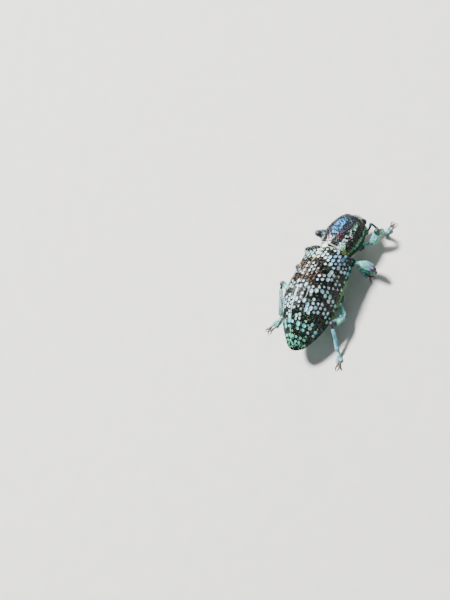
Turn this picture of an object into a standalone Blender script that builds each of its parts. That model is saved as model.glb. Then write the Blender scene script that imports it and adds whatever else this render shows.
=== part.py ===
"""Botany Bay diamond weevil (Chrysolopus spectabilis), life size, standing still on its six feet.

Sizes are in millimetres and turned into metres by MM. The beetle looks along -Y, its left side is +X,
and the floor is z = 0. Places are measured from the middle of the wing cases' front edge; at the end
everything is moved so that the origin lies in the middle of the box under the feet.
"""
import math

import bmesh
import bpy
import numpy as np
from mathutils import Euler, Matrix, Vector

MM = 0.001
NAME = "diamond_weevil"

# Clear space between neighbouring plates, and between the small parts of legs, feelers and eyes
PLATE_GAP = 0.3
JOINT_GAP = 0.2

# Wing cases (elytra): one strongly arched shell each, meeting along the back
ELYTRA_LENGTH = 14.0
SHELL_THICKNESS = 0.5
LEAST_INSIDE = 0.35
HUMERAL_CALLUS = 0.35
CALLUS_PLACE = (0.05, 58.0)
CALLUS_SPREAD = (0.04, 20.0)
HALF_WIDTH = [(0, 2.6), (0.055, 3.42), (0.2, 3.38), (0.57, 3.55), (0.72, 3.1), (0.85, 2.3),
              (0.94, 1.5), (0.985, 0.9), (1, 0.6)]
CREST_HEIGHT = [(0, 6.3), (0.08, 6.8), (0.25, 7.45), (0.48, 7.8), (0.66, 7.4), (0.8, 6.35),
                (0.92, 4.9), (1, 3.6)]
MARGIN_HEIGHT = [(0, 4.0), (0.15, 3.3), (0.4, 2.95), (0.8, 2.85), (1, 3.1)]
BELLY_HEIGHT = [(0, 1.8), (0.3, 1.65), (0.7, 1.8), (1, 2.7)]
ARCH_POWER = [(0, 0.72), (0.1, 0.8), (0.5, 0.86), (1, 1.0)]

# Hind body under the wing cases: thorax to the hind legs, then the abdomen
THORAX_END = 5.75
ABDOMEN_END = 13.3

# Prothorax: a barrel on its own axis, turned a little to the beetle's right and dipping to the head
PROTHORAX_LENGTH = 5.12
PROTHORAX_BASE = (0.0, -0.28, 4.12)
PROTHORAX_PITCH = 6.0
PROTHORAX_YAW = 10.0
PROTHORAX_HALF_WIDTH = [(0, 2.12), (0.12, 2.35), (0.42, 2.68), (0.75, 2.35), (1, 1.74)]
PROTHORAX_HALF_HEIGHT = [(0, 1.88), (0.12, 2.07), (0.45, 2.3), (0.75, 2.07), (1, 1.66)]
COLLAR_RADIUS = 1.5

# Head: a globe drawn back into the prothorax, with a stout squared snout tucked down under its front edge
HEAD_RADIUS = 1.12
HEAD_SUNK = 0.3
SNOUT_LENGTH = 2.75
SNOUT_HALF_WIDTH = [(0, 0.78), (0.35, 0.62), (0.7, 0.66), (1, 0.74)]
SNOUT_HALF_DEPTH = [(0, 0.82), (0.35, 0.62), (0.8, 0.55), (1, 0.42)]
SNOUT_TUCK = 8.0
EYE_RADIUS = 0.48
EYE_PLACE = (0.93, -0.62, -0.18)
SNOUT_ROOT = (0.0, -0.4, 0.1)

# Feelers, in the snout's frame, as (out, forward, along): root, elbow, start of the club, tip
ANTENNA_POINTS = ((1.02, -0.05, -2.1), (1.6, -0.75, -0.85), (1.95, -0.95, -2.1), (2.0, -0.75, -3.05))
SCAPE_RADIUS = [(0, 0.25), (0.6, 0.25), (1, 0.3)]
FUNICLE_RADIUS = [(0, 0.25), (1, 0.26)]
CLUB_RADIUS = [(0, 0.26), (0.45, 0.36), (1, 0.12)]
ELBOW_SKIP = 0.62

SCUTELLUM_SIZE = (0.42, 0.5, 0.3)
SCUTELLUM_PLACE = (0.0, 0.12, 6.2)

# Legs: coxa, knee and ankle centres, the bow of the femur, and the tip of the claws
COXA_RADIUS = 0.6
KNEE_RADIUS = 0.36
FEMUR_RADIUS = [(0, 0.26), (0.22, 0.3), (0.62, 0.55), (0.85, 0.42), (0.97, 0.34), (1, 0.2)]
TIBIA_RADIUS = [(0, 0.25), (0.3, 0.26), (0.8, 0.29), (0.97, 0.34), (1, 0.28)]
LEGS = {
    "fore_right": {"coxa": (-1.55, -2.72, 1.5), "knee": (-4.85, -4.35, 3.65), "ankle": (-3.6, -5.4, 0.85),
                   "claw": (-4.2, -7.6), "bow": (-0.15, 0.05, -0.7)},
    "fore_left": {"coxa": (0.62, -3.09, 1.5), "knee": (4.4, -2.6, 3.75), "ankle": (3.8, -4.85, 0.85),
                  "claw": (4.3, -7.15), "bow": (0.0, 0.0, -0.75)},
    "mid_right": {"coxa": (-1.6, 0.35, 1.7), "knee": (-6.3, 0.8, 2.9), "ankle": (-2.45, 0.1, 0.9),
                  "heel": (-2.25, 0.0), "claw": (-4.85, 1.05), "bow": (0.0, -0.3, 0.35)},
    "mid_left": {"coxa": (1.6, 0.35, 1.7), "knee": (5.0, 2.45, 3.5), "ankle": (6.0, 4.3, 0.85),
                 "claw": (6.75, 6.8), "bow": (0.1, -0.1, -0.3)},
    "hind_right": {"coxa": (-2.2, 5.1, 1.65), "knee": (-3.95, 9.5, 3.25), "ankle": (-4.6, 11.85, 0.85),
                   "claw": (-5.5, 14.35), "bow": (-0.6, -0.1, -0.75)},
    "hind_left": {"coxa": (2.2, 5.1, 1.65), "knee": (6.5, 5.05, 3.2), "ankle": (6.45, 8.5, 0.85),
                  "claw": (8.0, 11.1), "bow": (0.0, 0.1, -0.25)},
}

# Feet: half width, underside and top along the foot; the pad is the only part that meets the floor
HEEL_SET_BACK = 0.15
CLAW_REACH = 0.6
CLAW_BENDS = ((-0.22, 0.08, 0.31), (0.22, 0.27, 0.33), (CLAW_REACH, 0.38, 0.13))
CLAW_RADIUS = (0.18, 0.16, 0.1)
FOOT_STATIONS = (0, 0.15, 0.3, 0.42, 0.5, 0.6, 0.66, 0.73, 1)
FOOT_HALF_WIDTH = [(0, 0.26), (0.3, 0.34), (0.5, 0.52), (0.6, 0.5), (0.7, 0.27), (1, 0.28)]
FOOT_UNDERSIDE = [(0, 0.06), (0.3, 0.05), (0.42, 0.0), (0.6, 0.0), (0.72, 0.12), (1, 0.08)]
FOOT_TOP = [(0, 0.5), (0.3, 0.55), (0.5, 0.55), (0.66, 0.56), (0.8, 0.62), (1, 0.56)]

# Colour, roughness and metallic value of each finish
FINISHES = {
    "black_shell": ((0.02, 0.022, 0.024), 0.3, 0.0),
    "spangled_shell": ((0.16, 0.3, 0.28), 0.35, 0.5),
    "green_scales": ((0.16, 0.42, 0.3), 0.4, 0.5),
    "dark_eye": ((0.01, 0.01, 0.012), 0.15, 0.0),
}


def through(stations):
    """Smooth curve through (place, value) stations that never overshoots them."""
    place, value = np.array(stations, float).T
    rise = np.diff(value) / np.diff(place)
    product = rise[:-1] * rise[1:]
    slope = np.zeros(len(place))
    slope[0], slope[-1] = rise[0], rise[-1]
    steady = product > 0
    slope[1:-1][steady] = 2 * product[steady] / (rise[:-1] + rise[1:])[steady]

    def read(where):
        where = np.asarray(where, float)
        i = np.clip(np.searchsorted(place, where, side="right") - 1, 0, len(rise) - 1)
        span = place[i + 1] - place[i]
        u = (where - place[i]) / span
        return (value[i] * (1 + 2 * u) * (1 - u) ** 2 + slope[i] * span * u * (1 - u) ** 2
                + value[i + 1] * u * u * (3 - 2 * u) + slope[i + 1] * span * u * u * (u - 1))
    return read


half_width, crest, margin = through(HALF_WIDTH), through(CREST_HEIGHT), through(MARGIN_HEIGHT)
belly, arch_power = through(BELLY_HEIGHT), through(ARCH_POWER)


def clear_scene():
    for thing in list(bpy.data.objects):
        bpy.data.objects.remove(thing, do_unlink=True)


def make_collection(name):
    collection = bpy.data.collections.new(name)
    bpy.context.scene.collection.children.link(collection)
    return collection


def make_materials():
    made = {}
    for name, (colour, roughness, metallic) in FINISHES.items():
        material = bpy.data.materials.new(name)
        material.use_nodes = True
        shader = material.node_tree.nodes["Principled BSDF"]
        shader.inputs["Base Color"].default_value = (*colour, 1.0)
        shader.inputs["Roughness"].default_value = roughness
        shader.inputs["Metallic"].default_value = metallic
        made[name] = material
    return made


def object_from_bmesh(name, bm):
    bmesh.ops.recalc_face_normals(bm, faces=bm.faces)
    mesh = bpy.data.meshes.new(name)
    bm.to_mesh(mesh)
    bm.free()
    mesh.shade_smooth()
    return bpy.data.objects.new(name, mesh)


def loft(name, rings):
    """Closed skin over rings of equal point counts, each ring an (n, 3) array in millimetres."""
    bm = bmesh.new()
    rows = [[bm.verts.new(point) for point in ring] for ring in rings]
    for low, high in zip(rows, rows[1:]):
        for i in range(len(low)):
            j = (i + 1) % len(low)
            bm.faces.new((low[i], low[j], high[j], high[i]))
    bm.faces.new(rows[0])
    bm.faces.new(rows[-1])
    return object_from_bmesh(name, bm)


def ball(name, centre, radii, segments=12, rings=8, turn=(0, 0, 0)):
    bm = bmesh.new()
    bmesh.ops.create_uvsphere(bm, u_segments=segments, v_segments=rings, radius=1.0)
    place = Matrix.LocRotScale(Vector(centre), Euler([math.radians(a) for a in turn]), Vector(radii))
    bm.transform(place)
    return object_from_bmesh(name, bm)


def block(name, low, high):
    low, high = Vector(low), Vector(high)
    bm = bmesh.new()
    bmesh.ops.create_cube(bm, size=1.0)
    bm.transform(Matrix.LocRotScale((low + high) / 2, None, high - low))
    return object_from_bmesh(name, bm)


def tube(name, points, radii):
    """Round limb along points, with its own radius at each, as a mesh with its caps welded."""
    curve = bpy.data.curves.new(name, "CURVE")
    curve.dimensions = "3D"
    curve.bevel_depth = 1.0
    curve.bevel_resolution = 2
    curve.use_fill_caps = True
    spline = curve.splines.new("POLY")
    spline.points.add(len(points) - 1)
    for knot, point, radius in zip(spline.points, points, radii):
        knot.co = (*point, 1.0)
        knot.radius = float(radius)
    guide = bpy.data.objects.new(name + "_path", curve)
    bpy.context.scene.collection.objects.link(guide)
    seen = guide.evaluated_get(bpy.context.evaluated_depsgraph_get())
    bm = bmesh.new()
    bm.from_mesh(bpy.data.meshes.new_from_object(seen))
    bpy.data.objects.remove(guide, do_unlink=True)
    bmesh.ops.remove_doubles(bm, verts=bm.verts, dist=1e-4)
    return object_from_bmesh(name, bm)


def cut_or_join(piece, tools, operation):
    """Apply a Boolean with each tool in turn; the tools are used up."""
    bpy.context.scene.collection.objects.link(piece)
    for tool in tools:
        bpy.context.scene.collection.objects.link(tool)
        step = piece.modifiers.new(operation.lower(), "BOOLEAN")
        step.operation = operation
        step.solver = "EXACT"
        step.object = tool
    seen = piece.evaluated_get(bpy.context.evaluated_depsgraph_get())
    mesh = bpy.data.meshes.new_from_object(seen)
    piece.modifiers.clear()
    piece.data = mesh
    for tool in tools:
        bpy.data.objects.remove(tool, do_unlink=True)
    bpy.context.scene.collection.objects.unlink(piece)
    return piece


def prothorax_frame():
    """Matrix of the prothorax: its -Y runs along the barrel to the head, from the middle of its base."""
    yaw = Matrix.Rotation(math.radians(-PROTHORAX_YAW), 4, "Z")
    pitch = Matrix.Rotation(math.radians(PROTHORAX_PITCH), 4, "X")
    return Matrix.Translation(PROTHORAX_BASE) @ yaw @ pitch


def moved(ring, frame):
    return [frame @ Vector(point) for point in ring]


def elytra_surface(t, angle, inset=0.0):
    """Point (x, z) of the arched back: station t runs from base 0 to tip 1, angle from crest 0 to margin 90.

    x = (width + bump) sin(angle)^power and z = margin + (rise + bump) cos(angle)^power, where the bump
    is the shoulder; an inset surface keeps at least LEAST_INSIDE of the width and of the rise.
    """
    width, low, power = half_width(t), margin(t), arch_power(t)
    rise = crest(t) - low
    along = (t - CALLUS_PLACE[0]) / CALLUS_SPREAD[0]
    around = (np.degrees(angle) - CALLUS_PLACE[1]) / CALLUS_SPREAD[1]
    bump = HUMERAL_CALLUS * np.exp(-along ** 2 - around ** 2)
    reach = max(width - inset, LEAST_INSIDE * width) + bump
    height = max(rise - inset, LEAST_INSIDE * rise) + bump
    return reach * np.sin(angle) ** power, low + height * np.cos(angle) ** power


def elytron(side):
    """One wing case: outer arch from the back's seam to the margin, then the inner arch back."""
    rings = []
    for t in np.linspace(0, 1, 23) ** 1.05:
        outer = [elytra_surface(t, a) for a in np.linspace(0, math.pi / 2, 10)]
        inner = [elytra_surface(t, a, SHELL_THICKNESS) for a in np.linspace(math.pi / 2, 0, 7)]
        seam = PLATE_GAP / 2
        rings.append([(side * (seam + x * (1 - seam / half_width(t))), t * ELYTRA_LENGTH, z)
                      for x, z in outer + inner])
    return rings


def under_ring(y, sides=24):
    """Ring of the hind body: inside the wing cases above the margin, bulging to the belly below it."""
    t = y / ELYTRA_LENGTH
    inset = SHELL_THICKNESS + PLATE_GAP
    low = float(margin(t))
    side = elytra_surface(t, math.pi / 2, inset)[0]
    ring = []
    for a in np.linspace(0, 2 * math.pi, sides, endpoint=False):
        if math.cos(a) >= 0:
            x, z = elytra_surface(t, abs(math.atan2(math.sin(a), math.cos(a))), inset)
            ring.append((math.copysign(x, math.sin(a)), y, z))
        else:
            drop = (low - float(belly(t))) * abs(math.cos(a)) ** 0.8
            ring.append((side * math.sin(a), y, low - drop))
    return ring


def collar_ring(sides=24):
    """Front ring of the thorax, square to the prothorax and a plate gap behind it."""
    angles = np.linspace(0, 2 * math.pi, sides, endpoint=False)
    ring = [(COLLAR_RADIUS * math.sin(a), PLATE_GAP, COLLAR_RADIUS * math.cos(a)) for a in angles]
    return moved(ring, prothorax_frame())


def prothorax_rings(sides=28):
    wide, high = through(PROTHORAX_HALF_WIDTH), through(PROTHORAX_HALF_HEIGHT)
    frame = prothorax_frame()
    angles = np.linspace(0, 2 * math.pi, sides, endpoint=False)
    rings = []
    for s in np.linspace(0, 1, 12):
        ring = [(wide(s) * math.sin(a), -s * PROTHORAX_LENGTH, high(s) * math.cos(a)) for a in angles]
        rings.append(moved(ring, frame))
    return rings


def head_centre():
    return prothorax_frame() @ Vector((0, HEAD_SUNK - PROTHORAX_LENGTH, -0.1))


def head_frame():
    """Matrix of the head: level, turned with the prothorax; +Z runs up and -Y out of the forehead."""
    return Matrix.Translation(head_centre()) @ Matrix.Rotation(math.radians(-PROTHORAX_YAW), 4, "Z")


def snout_frame():
    """Matrix of the snout: -Z runs down the snout to the mouth, which is tucked back a little."""
    tuck = Matrix.Rotation(math.radians(SNOUT_TUCK), 4, "X")
    return head_frame() @ Matrix.Translation(SNOUT_ROOT) @ tuck


def snout_rings(extra=0.0, sides=16):
    """Squared rings down the snout, each half measure larger by extra."""
    wide, deep = through(SNOUT_HALF_WIDTH), through(SNOUT_HALF_DEPTH)
    rings = []
    for s in np.linspace(0, 1, 7):
        ring = []
        for a in np.linspace(0, 2 * math.pi, sides, endpoint=False):
            x = math.copysign(abs(math.cos(a)) ** 0.6, math.cos(a)) * (wide(s) + extra)
            y = math.copysign(abs(math.sin(a)) ** 0.6, math.sin(a)) * (deep(s) + extra)
            ring.append((x, y, -s * SNOUT_LENGTH))
        rings.append(moved(ring, snout_frame()))
    return rings


def eye_centre(side):
    out, forward, up = EYE_PLACE
    return head_frame() @ Vector((side * out, forward, up))


def make_head():
    globe = ball("head", head_centre(), (HEAD_RADIUS, HEAD_RADIUS, HEAD_RADIUS), 20, 12)
    head = cut_or_join(globe, [loft("snout", snout_rings())], "UNION")
    socket = EYE_RADIUS + JOINT_GAP / 2
    sockets = [ball("socket", eye_centre(side), (socket,) * 3, 14, 8) for side in (-1, 1)]
    return cut_or_join(head, sockets, "DIFFERENCE")


def make_prothorax():
    """Barrel with a hollow for the head, whose lower front edge is cut back to let the snout tuck in."""
    barrel = loft("prothorax", prothorax_rings())
    recess = HEAD_RADIUS + PLATE_GAP
    tools = [ball("recess", head_centre(), (recess,) * 3, 20, 12), loft("notch", snout_rings(PLATE_GAP, 12))]
    tools += [ball("notch", eye_centre(side), (EYE_RADIUS + JOINT_GAP,) * 3, 10, 6) for side in (-1, 1)]
    tools += [coxa_ball("socket", leg, JOINT_GAP) for leg in LEGS if leg.startswith("fore")]
    tools.append(block("elytra_clearance", (-6, -PLATE_GAP, 0), (6, 4, 12)))
    return cut_or_join(barrel, tools, "DIFFERENCE")


def coxa_ball(name, leg, extra=0.0):
    return ball(name, LEGS[leg]["coxa"], (COXA_RADIUS + extra,) * 3, 10, 6)


def make_thorax():
    rings = [collar_ring()] + [under_ring(y) for y in (0.9, 1.8, 3.0, 4.4, THORAX_END)]
    sockets = [coxa_ball("socket", leg, JOINT_GAP) for leg in LEGS if not leg.startswith("fore")]
    return cut_or_join(loft("thorax", rings), sockets, "DIFFERENCE")


def make_abdomen():
    stations = np.linspace(THORAX_END + PLATE_GAP, ABDOMEN_END, 11)
    sockets = [coxa_ball("socket", leg, JOINT_GAP) for leg in LEGS if leg.startswith("hind")]
    return cut_or_join(loft("abdomen", [under_ring(y) for y in stations]), sockets, "DIFFERENCE")


def make_elytron(side, name):
    notch = ball("notch", SCUTELLUM_PLACE, [size + JOINT_GAP for size in SCUTELLUM_SIZE], 12, 8)
    return cut_or_join(loft(name, elytron(side)), [notch], "DIFFERENCE")


def limb(name, start, end, bow, profile, skip_start, skip_end=0.0, count=10):
    """A leg piece from start to end that leaves skip millimetres free at each end."""
    radius = through(profile)
    axis = (Vector(end) - Vector(start)).normalized()
    first = Vector(start) + axis * skip_start
    last = Vector(end) - axis * skip_end
    places = 0.5 - 0.5 * np.cos(np.linspace(0, math.pi, count))
    whole = [first.lerp(last, u) + Vector(bow) * (4 * u * (1 - u)) for u in places]
    return tube(name, whole, radius(places))


def make_femur(leg):
    data = LEGS[leg]
    return limb(leg_node(leg, "femur"), data["coxa"], data["knee"], data["bow"], FEMUR_RADIUS,
                COXA_RADIUS + JOINT_GAP)


def make_tibia(leg):
    """Shin from under the knee, clear of the femur however tightly the leg is folded, to the ankle."""
    data = LEGS[leg]
    coxa, knee, ankle = (Vector(data[joint]) for joint in ("coxa", "knee", "ankle"))
    thigh = (knee - coxa).normalized()
    shin = (ankle - knee).normalized()
    fold = -shin.dot(thigh)
    away = (shin + fold * thigh).normalized() if fold > 0 else shin
    start = knee + away * (KNEE_RADIUS + JOINT_GAP + max(fold, 0.0) * TIBIA_RADIUS[0][1])
    return limb(leg_node(leg, "tibia"), start, ankle, (0, 0, 0), TIBIA_RADIUS, 0.0, count=7)


def leg_node(leg, part):
    pair, side = leg.split("_")
    return f"{pair}_{part}_{side}"


def make_tarsus(leg):
    """Foot: segments widening to a two-lobed pad with a flat sole, the claw segment and its two claws."""
    data = LEGS[leg]
    ankle, tip = Vector((*data["ankle"][:2], 0)), Vector((*data["claw"], 0))
    start = ankle - (tip - ankle).normalized() * HEEL_SET_BACK
    if "heel" in data:
        start = Vector((*data["heel"], 0))
    length = (tip - start).length
    along = (tip - start) / length
    across = Vector((-along.y, along.x, 0))

    def at(distance, side=0.0, height=0.0):
        return start + along * distance + across * side + Vector((0, 0, height))

    wide, low, high = through(FOOT_HALF_WIDTH), through(FOOT_UNDERSIDE), through(FOOT_TOP)
    rings = []
    for s in FOOT_STATIONS:
        middle, half = (low(s) + high(s)) / 2, (high(s) - low(s)) / 2
        ring = []
        for a in np.linspace(0, 2 * math.pi, 12, endpoint=False) + math.pi / 12:
            x = math.copysign(abs(math.cos(a)) ** 0.75, math.cos(a)) * wide(s)
            z = max(-1.0, min(1.0, math.sin(a) / math.sin(math.pi / 4))) * half
            ring.append(at(s * (length - CLAW_REACH), x, middle + z))
        rings.append(ring)
    base = length - CLAW_REACH
    hooks = []
    for side in (-1, 1):
        bends = [at(base + forward, out * side, height) for forward, out, height in CLAW_BENDS]
        hooks.append(tube("hook", bends, CLAW_RADIUS))
    return cut_or_join(loft(leg_node(leg, "tarsus"), rings), hooks, "UNION")


def antenna_points(side):
    """Places of one feeler: root by the mouth, elbow under the eye, start and tip of the club."""
    return [snout_frame() @ Vector((side * out, forward, along)) for out, forward, along in ANTENNA_POINTS]


def make_antenna(side, suffix):
    root, elbow, club, tip = antenna_points(side)
    straight = (0, 0, 0)
    return [limb("antenna_scape_" + suffix, root, elbow, straight, SCAPE_RADIUS, 0.0, count=6),
            limb("antenna_funicle_" + suffix, elbow, club, straight, FUNICLE_RADIUS, ELBOW_SKIP, count=6),
            limb("antenna_club_" + suffix, club, tip, straight, CLUB_RADIUS, JOINT_GAP, count=7)]


def build_parts():
    """Every node of the beetle with the name of its finish."""
    parts = [(make_head(), "green_scales"),
             (make_prothorax(), "black_shell"),
             (make_thorax(), "green_scales"),
             (make_abdomen(), "green_scales"),
             (ball("scutellum", SCUTELLUM_PLACE, SCUTELLUM_SIZE), "green_scales")]
    for side, suffix in ((-1, "right"), (1, "left")):
        parts.append((ball("eye_" + suffix, eye_centre(side), (EYE_RADIUS,) * 3, 12, 8), "dark_eye"))
        parts.append((make_elytron(side, "elytron_" + suffix), "spangled_shell"))
        parts += [(piece, "black_shell") for piece in make_antenna(side, suffix)]
    for leg in LEGS:
        parts.append((coxa_ball(leg_node(leg, "coxa"), leg), "black_shell"))
        parts.append((make_femur(leg), "green_scales"))
        parts.append((make_tibia(leg), "green_scales"))
        parts.append((make_tarsus(leg), "green_scales"))
    return parts


def stand_on_origin(parts):
    """Bring the parts to metres under one empty, with the origin in the middle of the box's floor."""
    for part, _ in parts:
        part.data.transform(Matrix.Scale(MM, 4))
    corners = np.array([vertex.co for part, _ in parts for vertex in part.data.vertices])
    middle = (corners.min(axis=0) + corners.max(axis=0)) / 2
    root = bpy.data.objects.new(NAME + "_root", None)
    root.location = (-middle[0], -middle[1], 0)
    bpy.context.scene.collection.objects.link(root)
    for part, _ in parts:
        part.parent = root


def main():
    clear_scene()
    collection = make_collection(NAME)
    materials = make_materials()
    parts = build_parts()
    for part, finish in parts:
        part.data.materials.clear()
        part.data.materials.append(materials[finish])
        collection.objects.link(part)
    stand_on_origin(parts)


main()
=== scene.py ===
# %% [markdown]
# # A diamond weevil, life size
#
# A diamond weevil is a hard black shell, and everything bright on it is scales: flat plates a tenth of a
# millimetre long, packed into pits on the wing cases and laid in stripes on the prothorax and legs. So the
# model is made twice over. First come the shell pieces, each one a surface worked out from a formula. Then
# come the scales, tens of thousands of small plates stamped on those same surfaces.

import math

import bpy
import numpy as np
from mathutils import Matrix, Vector


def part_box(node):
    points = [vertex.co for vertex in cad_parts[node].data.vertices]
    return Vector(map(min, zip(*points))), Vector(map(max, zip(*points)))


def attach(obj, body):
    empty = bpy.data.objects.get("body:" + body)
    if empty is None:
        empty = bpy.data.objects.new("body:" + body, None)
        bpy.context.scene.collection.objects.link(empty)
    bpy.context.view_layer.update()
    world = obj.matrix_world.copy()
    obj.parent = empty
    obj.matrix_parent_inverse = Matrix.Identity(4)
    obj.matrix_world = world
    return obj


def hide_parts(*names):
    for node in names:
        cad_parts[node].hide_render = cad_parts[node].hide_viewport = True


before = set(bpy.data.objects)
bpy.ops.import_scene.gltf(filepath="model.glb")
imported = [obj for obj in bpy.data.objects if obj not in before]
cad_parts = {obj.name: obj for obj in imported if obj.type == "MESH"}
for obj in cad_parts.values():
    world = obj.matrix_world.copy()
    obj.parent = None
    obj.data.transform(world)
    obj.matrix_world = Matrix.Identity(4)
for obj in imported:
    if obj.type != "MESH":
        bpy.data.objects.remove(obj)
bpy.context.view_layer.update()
print("solids:", len(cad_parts))

# %% [markdown]
# The sizes below are in millimetres, measured from the middle of the wing cases' front edge, with the tail
# along +Y and the beetle's left along +X. The solids give that place in the room, because the two wing
# cases start there: so every piece lands on its solid with no fitting.

# %% From millimetres on the animal to metres in the room
MM = 0.001
right_low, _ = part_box("elytron_right")
_, left_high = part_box("elytron_left")
START = np.array([(right_low.x + left_high.x) / 2, right_low.y, 0.0])
print("front edge of the wing cases at", START)


def in_room(points):
    """Points in metres: the millimetre point times 0.001, moved to where the wing cases start."""
    return np.asarray(points, float) * MM + START

# %% [markdown]
# A body's outline is a few widths and heights joined smoothly. A plain spline would swing past them and
# make a bulge that the animal hasn't got, so a monotone cubic is used, which never overshoots.

# %% A smooth curve through stations
def through(stations):
    """Monotone cubic through (place, value) pairs; each slope is the harmonic mean of the rises beside it."""
    place, value = np.array(stations, float).T
    rise = np.diff(value) / np.diff(place)
    product = rise[:-1] * rise[1:]
    slope = np.zeros(len(place))
    slope[0], slope[-1] = rise[0], rise[-1]
    steady = product > 0
    slope[1:-1][steady] = 2 * product[steady] / (rise[:-1] + rise[1:])[steady]

    def read(where):
        where = np.asarray(where, float)
        i = np.clip(np.searchsorted(place, where, side="right") - 1, 0, len(rise) - 1)
        span = place[i + 1] - place[i]
        u = (where - place[i]) / span
        return (value[i] * (1 + 2 * u) * (1 - u) ** 2 + slope[i] * span * u * (1 - u) ** 2
                + value[i + 1] * u * u * (3 - 2 * u) + slope[i + 1] * span * u * u * (u - 1))
    return read


print("between two equal stations the curve stays level:", through([(0, 0), (1, 1), (2, 1)])(1.5))

# %% [markdown]
# Markings and grooves on the animal fade in and out. So a few soft switches are needed: a ramp, a fall, a
# bell, and a soft noise for whatever is uneven. Each works on whole arrays at once.

# %% Ramps, bells and soft noise
def ramp(x, low, high):
    """0 below low, 1 above high, and the smooth cubic 3k^2 - 2k^3 between them."""
    k = np.clip((np.asarray(x, float) - low) / (high - low), 0, 1)
    return k * k * (3 - 2 * k)


def fall(x, low, high):
    """1 below low and 0 above high: one less the ramp."""
    return 1 - ramp(x, low, high)


def bell(x, middle, width):
    """Bell curve: e to the power minus ((x - middle) / width) squared."""
    return np.exp(-((x - middle) / width) ** 2)


def unit(vectors):
    """Each vector divided by its length."""
    vectors = np.asarray(vectors, float)
    return vectors / np.maximum(np.linalg.norm(vectors, axis=-1, keepdims=True), 1e-12)


def ripple(points, size, seed):
    """Soft noise between about -1 and 1: twelve sine waves in random directions, about size mm long."""
    rng = np.random.default_rng(seed)
    waves = unit(rng.normal(size=(12, 3))) * (2 * math.pi / size) * rng.uniform(0.6, 1.5, (12, 1))
    return np.sin(np.asarray(points) @ waves.T + rng.uniform(0, 7, 12)).sum(-1) / 3.5


print("a quarter of the way, ramp and fall are", ramp(0.25, 0, 1), "and", fall(0.25, 0, 1))

# %% [markdown]
# Every surface here is a function of two numbers, read over a grid of pairs. For a piece that closes on
# itself, the second number is a place round it, counted in turns.

# %% Pairs of numbers
def paired(u, v):
    """Both as arrays of one shape."""
    return np.broadcast_arrays(np.asarray(u, float), np.asarray(v, float))


def lattice(rows, columns):
    """Two grids, with the value of the row and the value of the column at each crossing."""
    return np.meshgrid(rows, columns, indexing="ij")


def turns(count):
    """That many even places round a ring, from 0 up to 1 without the last."""
    return np.linspace(0, 1, count, endpoint=False)


def from_top(a):
    """Degrees from 0 on top to 180 underneath, either way round, of a place in turns."""
    return np.abs((np.asarray(a) + 0.5) % 1 - 0.5) * 360


print("four places round a ring:", turns(4), "in degrees from the top:", from_top(turns(4)))

# %% [markdown]
# Every piece is kept as plain arrays until it is finished: points, the corners of its faces, and a colour
# for each point, whose fourth number says how far scales cover the shell there. Arrays join simply, and
# they go into a Blender mesh in one step.

# %% Pieces as arrays
def shell(points, tint=None):
    """Closed skin over a grid whose columns run round the piece; the first and last rows are capped."""
    rows, columns = points.shape[:2]
    index = np.arange(rows * columns).reshape(rows, columns)
    ahead = np.roll(index, -1, axis=1)
    quads = np.stack([index[:-1], ahead[:-1], ahead[1:], index[1:]], -1).reshape(-1, 4)
    flat = points.reshape(-1, 3)
    corner = flat[quads] - flat.mean(0)
    volume = (np.cross(corner[:, 0], corner[:, 1]) * corner[:, 2]).sum() + (
        np.cross(corner[:, 0], corner[:, 2]) * corner[:, 3]).sum()
    first, last = index[0][::-1], index[-1]
    if volume < 0:
        quads, first, last = quads[:, ::-1], first[::-1], last[::-1]
    colour = np.broadcast_to(np.zeros(4) if tint is None else tint, (rows, columns, 4)).reshape(-1, 4)
    return {"points": flat, "corners": np.concatenate([quads.ravel(), first, last]),
            "sizes": np.concatenate([np.full(len(quads), 4), [columns, columns]]), "tint": colour}


def joined(parts):
    """One piece from several: the corners of each are counted on from the points before it."""
    offsets = np.cumsum([0] + [len(part["points"]) for part in parts[:-1]])
    whole = {key: np.concatenate([part[key] for part in parts]) for key in parts[0] if key != "corners"}
    whole["corners"] = np.concatenate([part["corners"] + start for part, start in zip(parts, offsets)])
    return whole


def covered(colour, cover):
    """Tint of four numbers: a colour, and how far scales cover the shell."""
    return np.concatenate([colour, np.asarray(cover)[..., None]], -1)


box = np.array([[[1, 1, z], [-1, 1, z], [-1, -1, z], [1, -1, z]] for z in (-1, 1)])
print("a box as arrays:", len(box.reshape(-1, 3)), "points and", len(shell(box)["sizes"]), "faces")

# %% From arrays to an object
def make_piece(name, part, material, slot, replaces=()):
    """Put the arrays into a mesh object at the origin, riding on the body and standing for its solids."""
    mesh = bpy.data.meshes.new(name)
    mesh.vertices.add(len(part["points"]))
    mesh.vertices.foreach_set("co", in_room(part["points"]).ravel())
    mesh.loops.add(len(part["corners"]))
    mesh.loops.foreach_set("vertex_index", part["corners"].astype(np.int32))
    mesh.polygons.add(len(part["sizes"]))
    mesh.polygons.foreach_set("loop_start", (np.cumsum(part["sizes"]) - part["sizes"]).astype(np.int32))
    mesh.update(calc_edges=True)
    mesh.validate()
    colour = mesh.attributes.new("tint", "FLOAT_COLOR", "POINT")
    colour.data.foreach_set("color", part["tint"].ravel())
    if "patch" in part:
        unwrap = mesh.uv_layers.new(name="OFBake")
        unwrap.data.foreach_set("uv", part["patch"][part["corners"]].ravel())
    mesh.shade_smooth()
    mesh.materials.append(material)
    piece = bpy.data.objects.new(name, mesh)
    bpy.context.scene.collection.objects.link(piece)
    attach(piece, "root")
    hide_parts(*replaces)
    print(f"{name}: {int((part['sizes'] - 2).sum())} triangles")

# %% [markdown]
# To set a scale on a surface you need its place, the way out and the lie of the coat. Any surface written
# as a function of two numbers gives all three: a small step in each number is a tangent, and the cross
# product of the two tangents is the way out.

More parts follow.
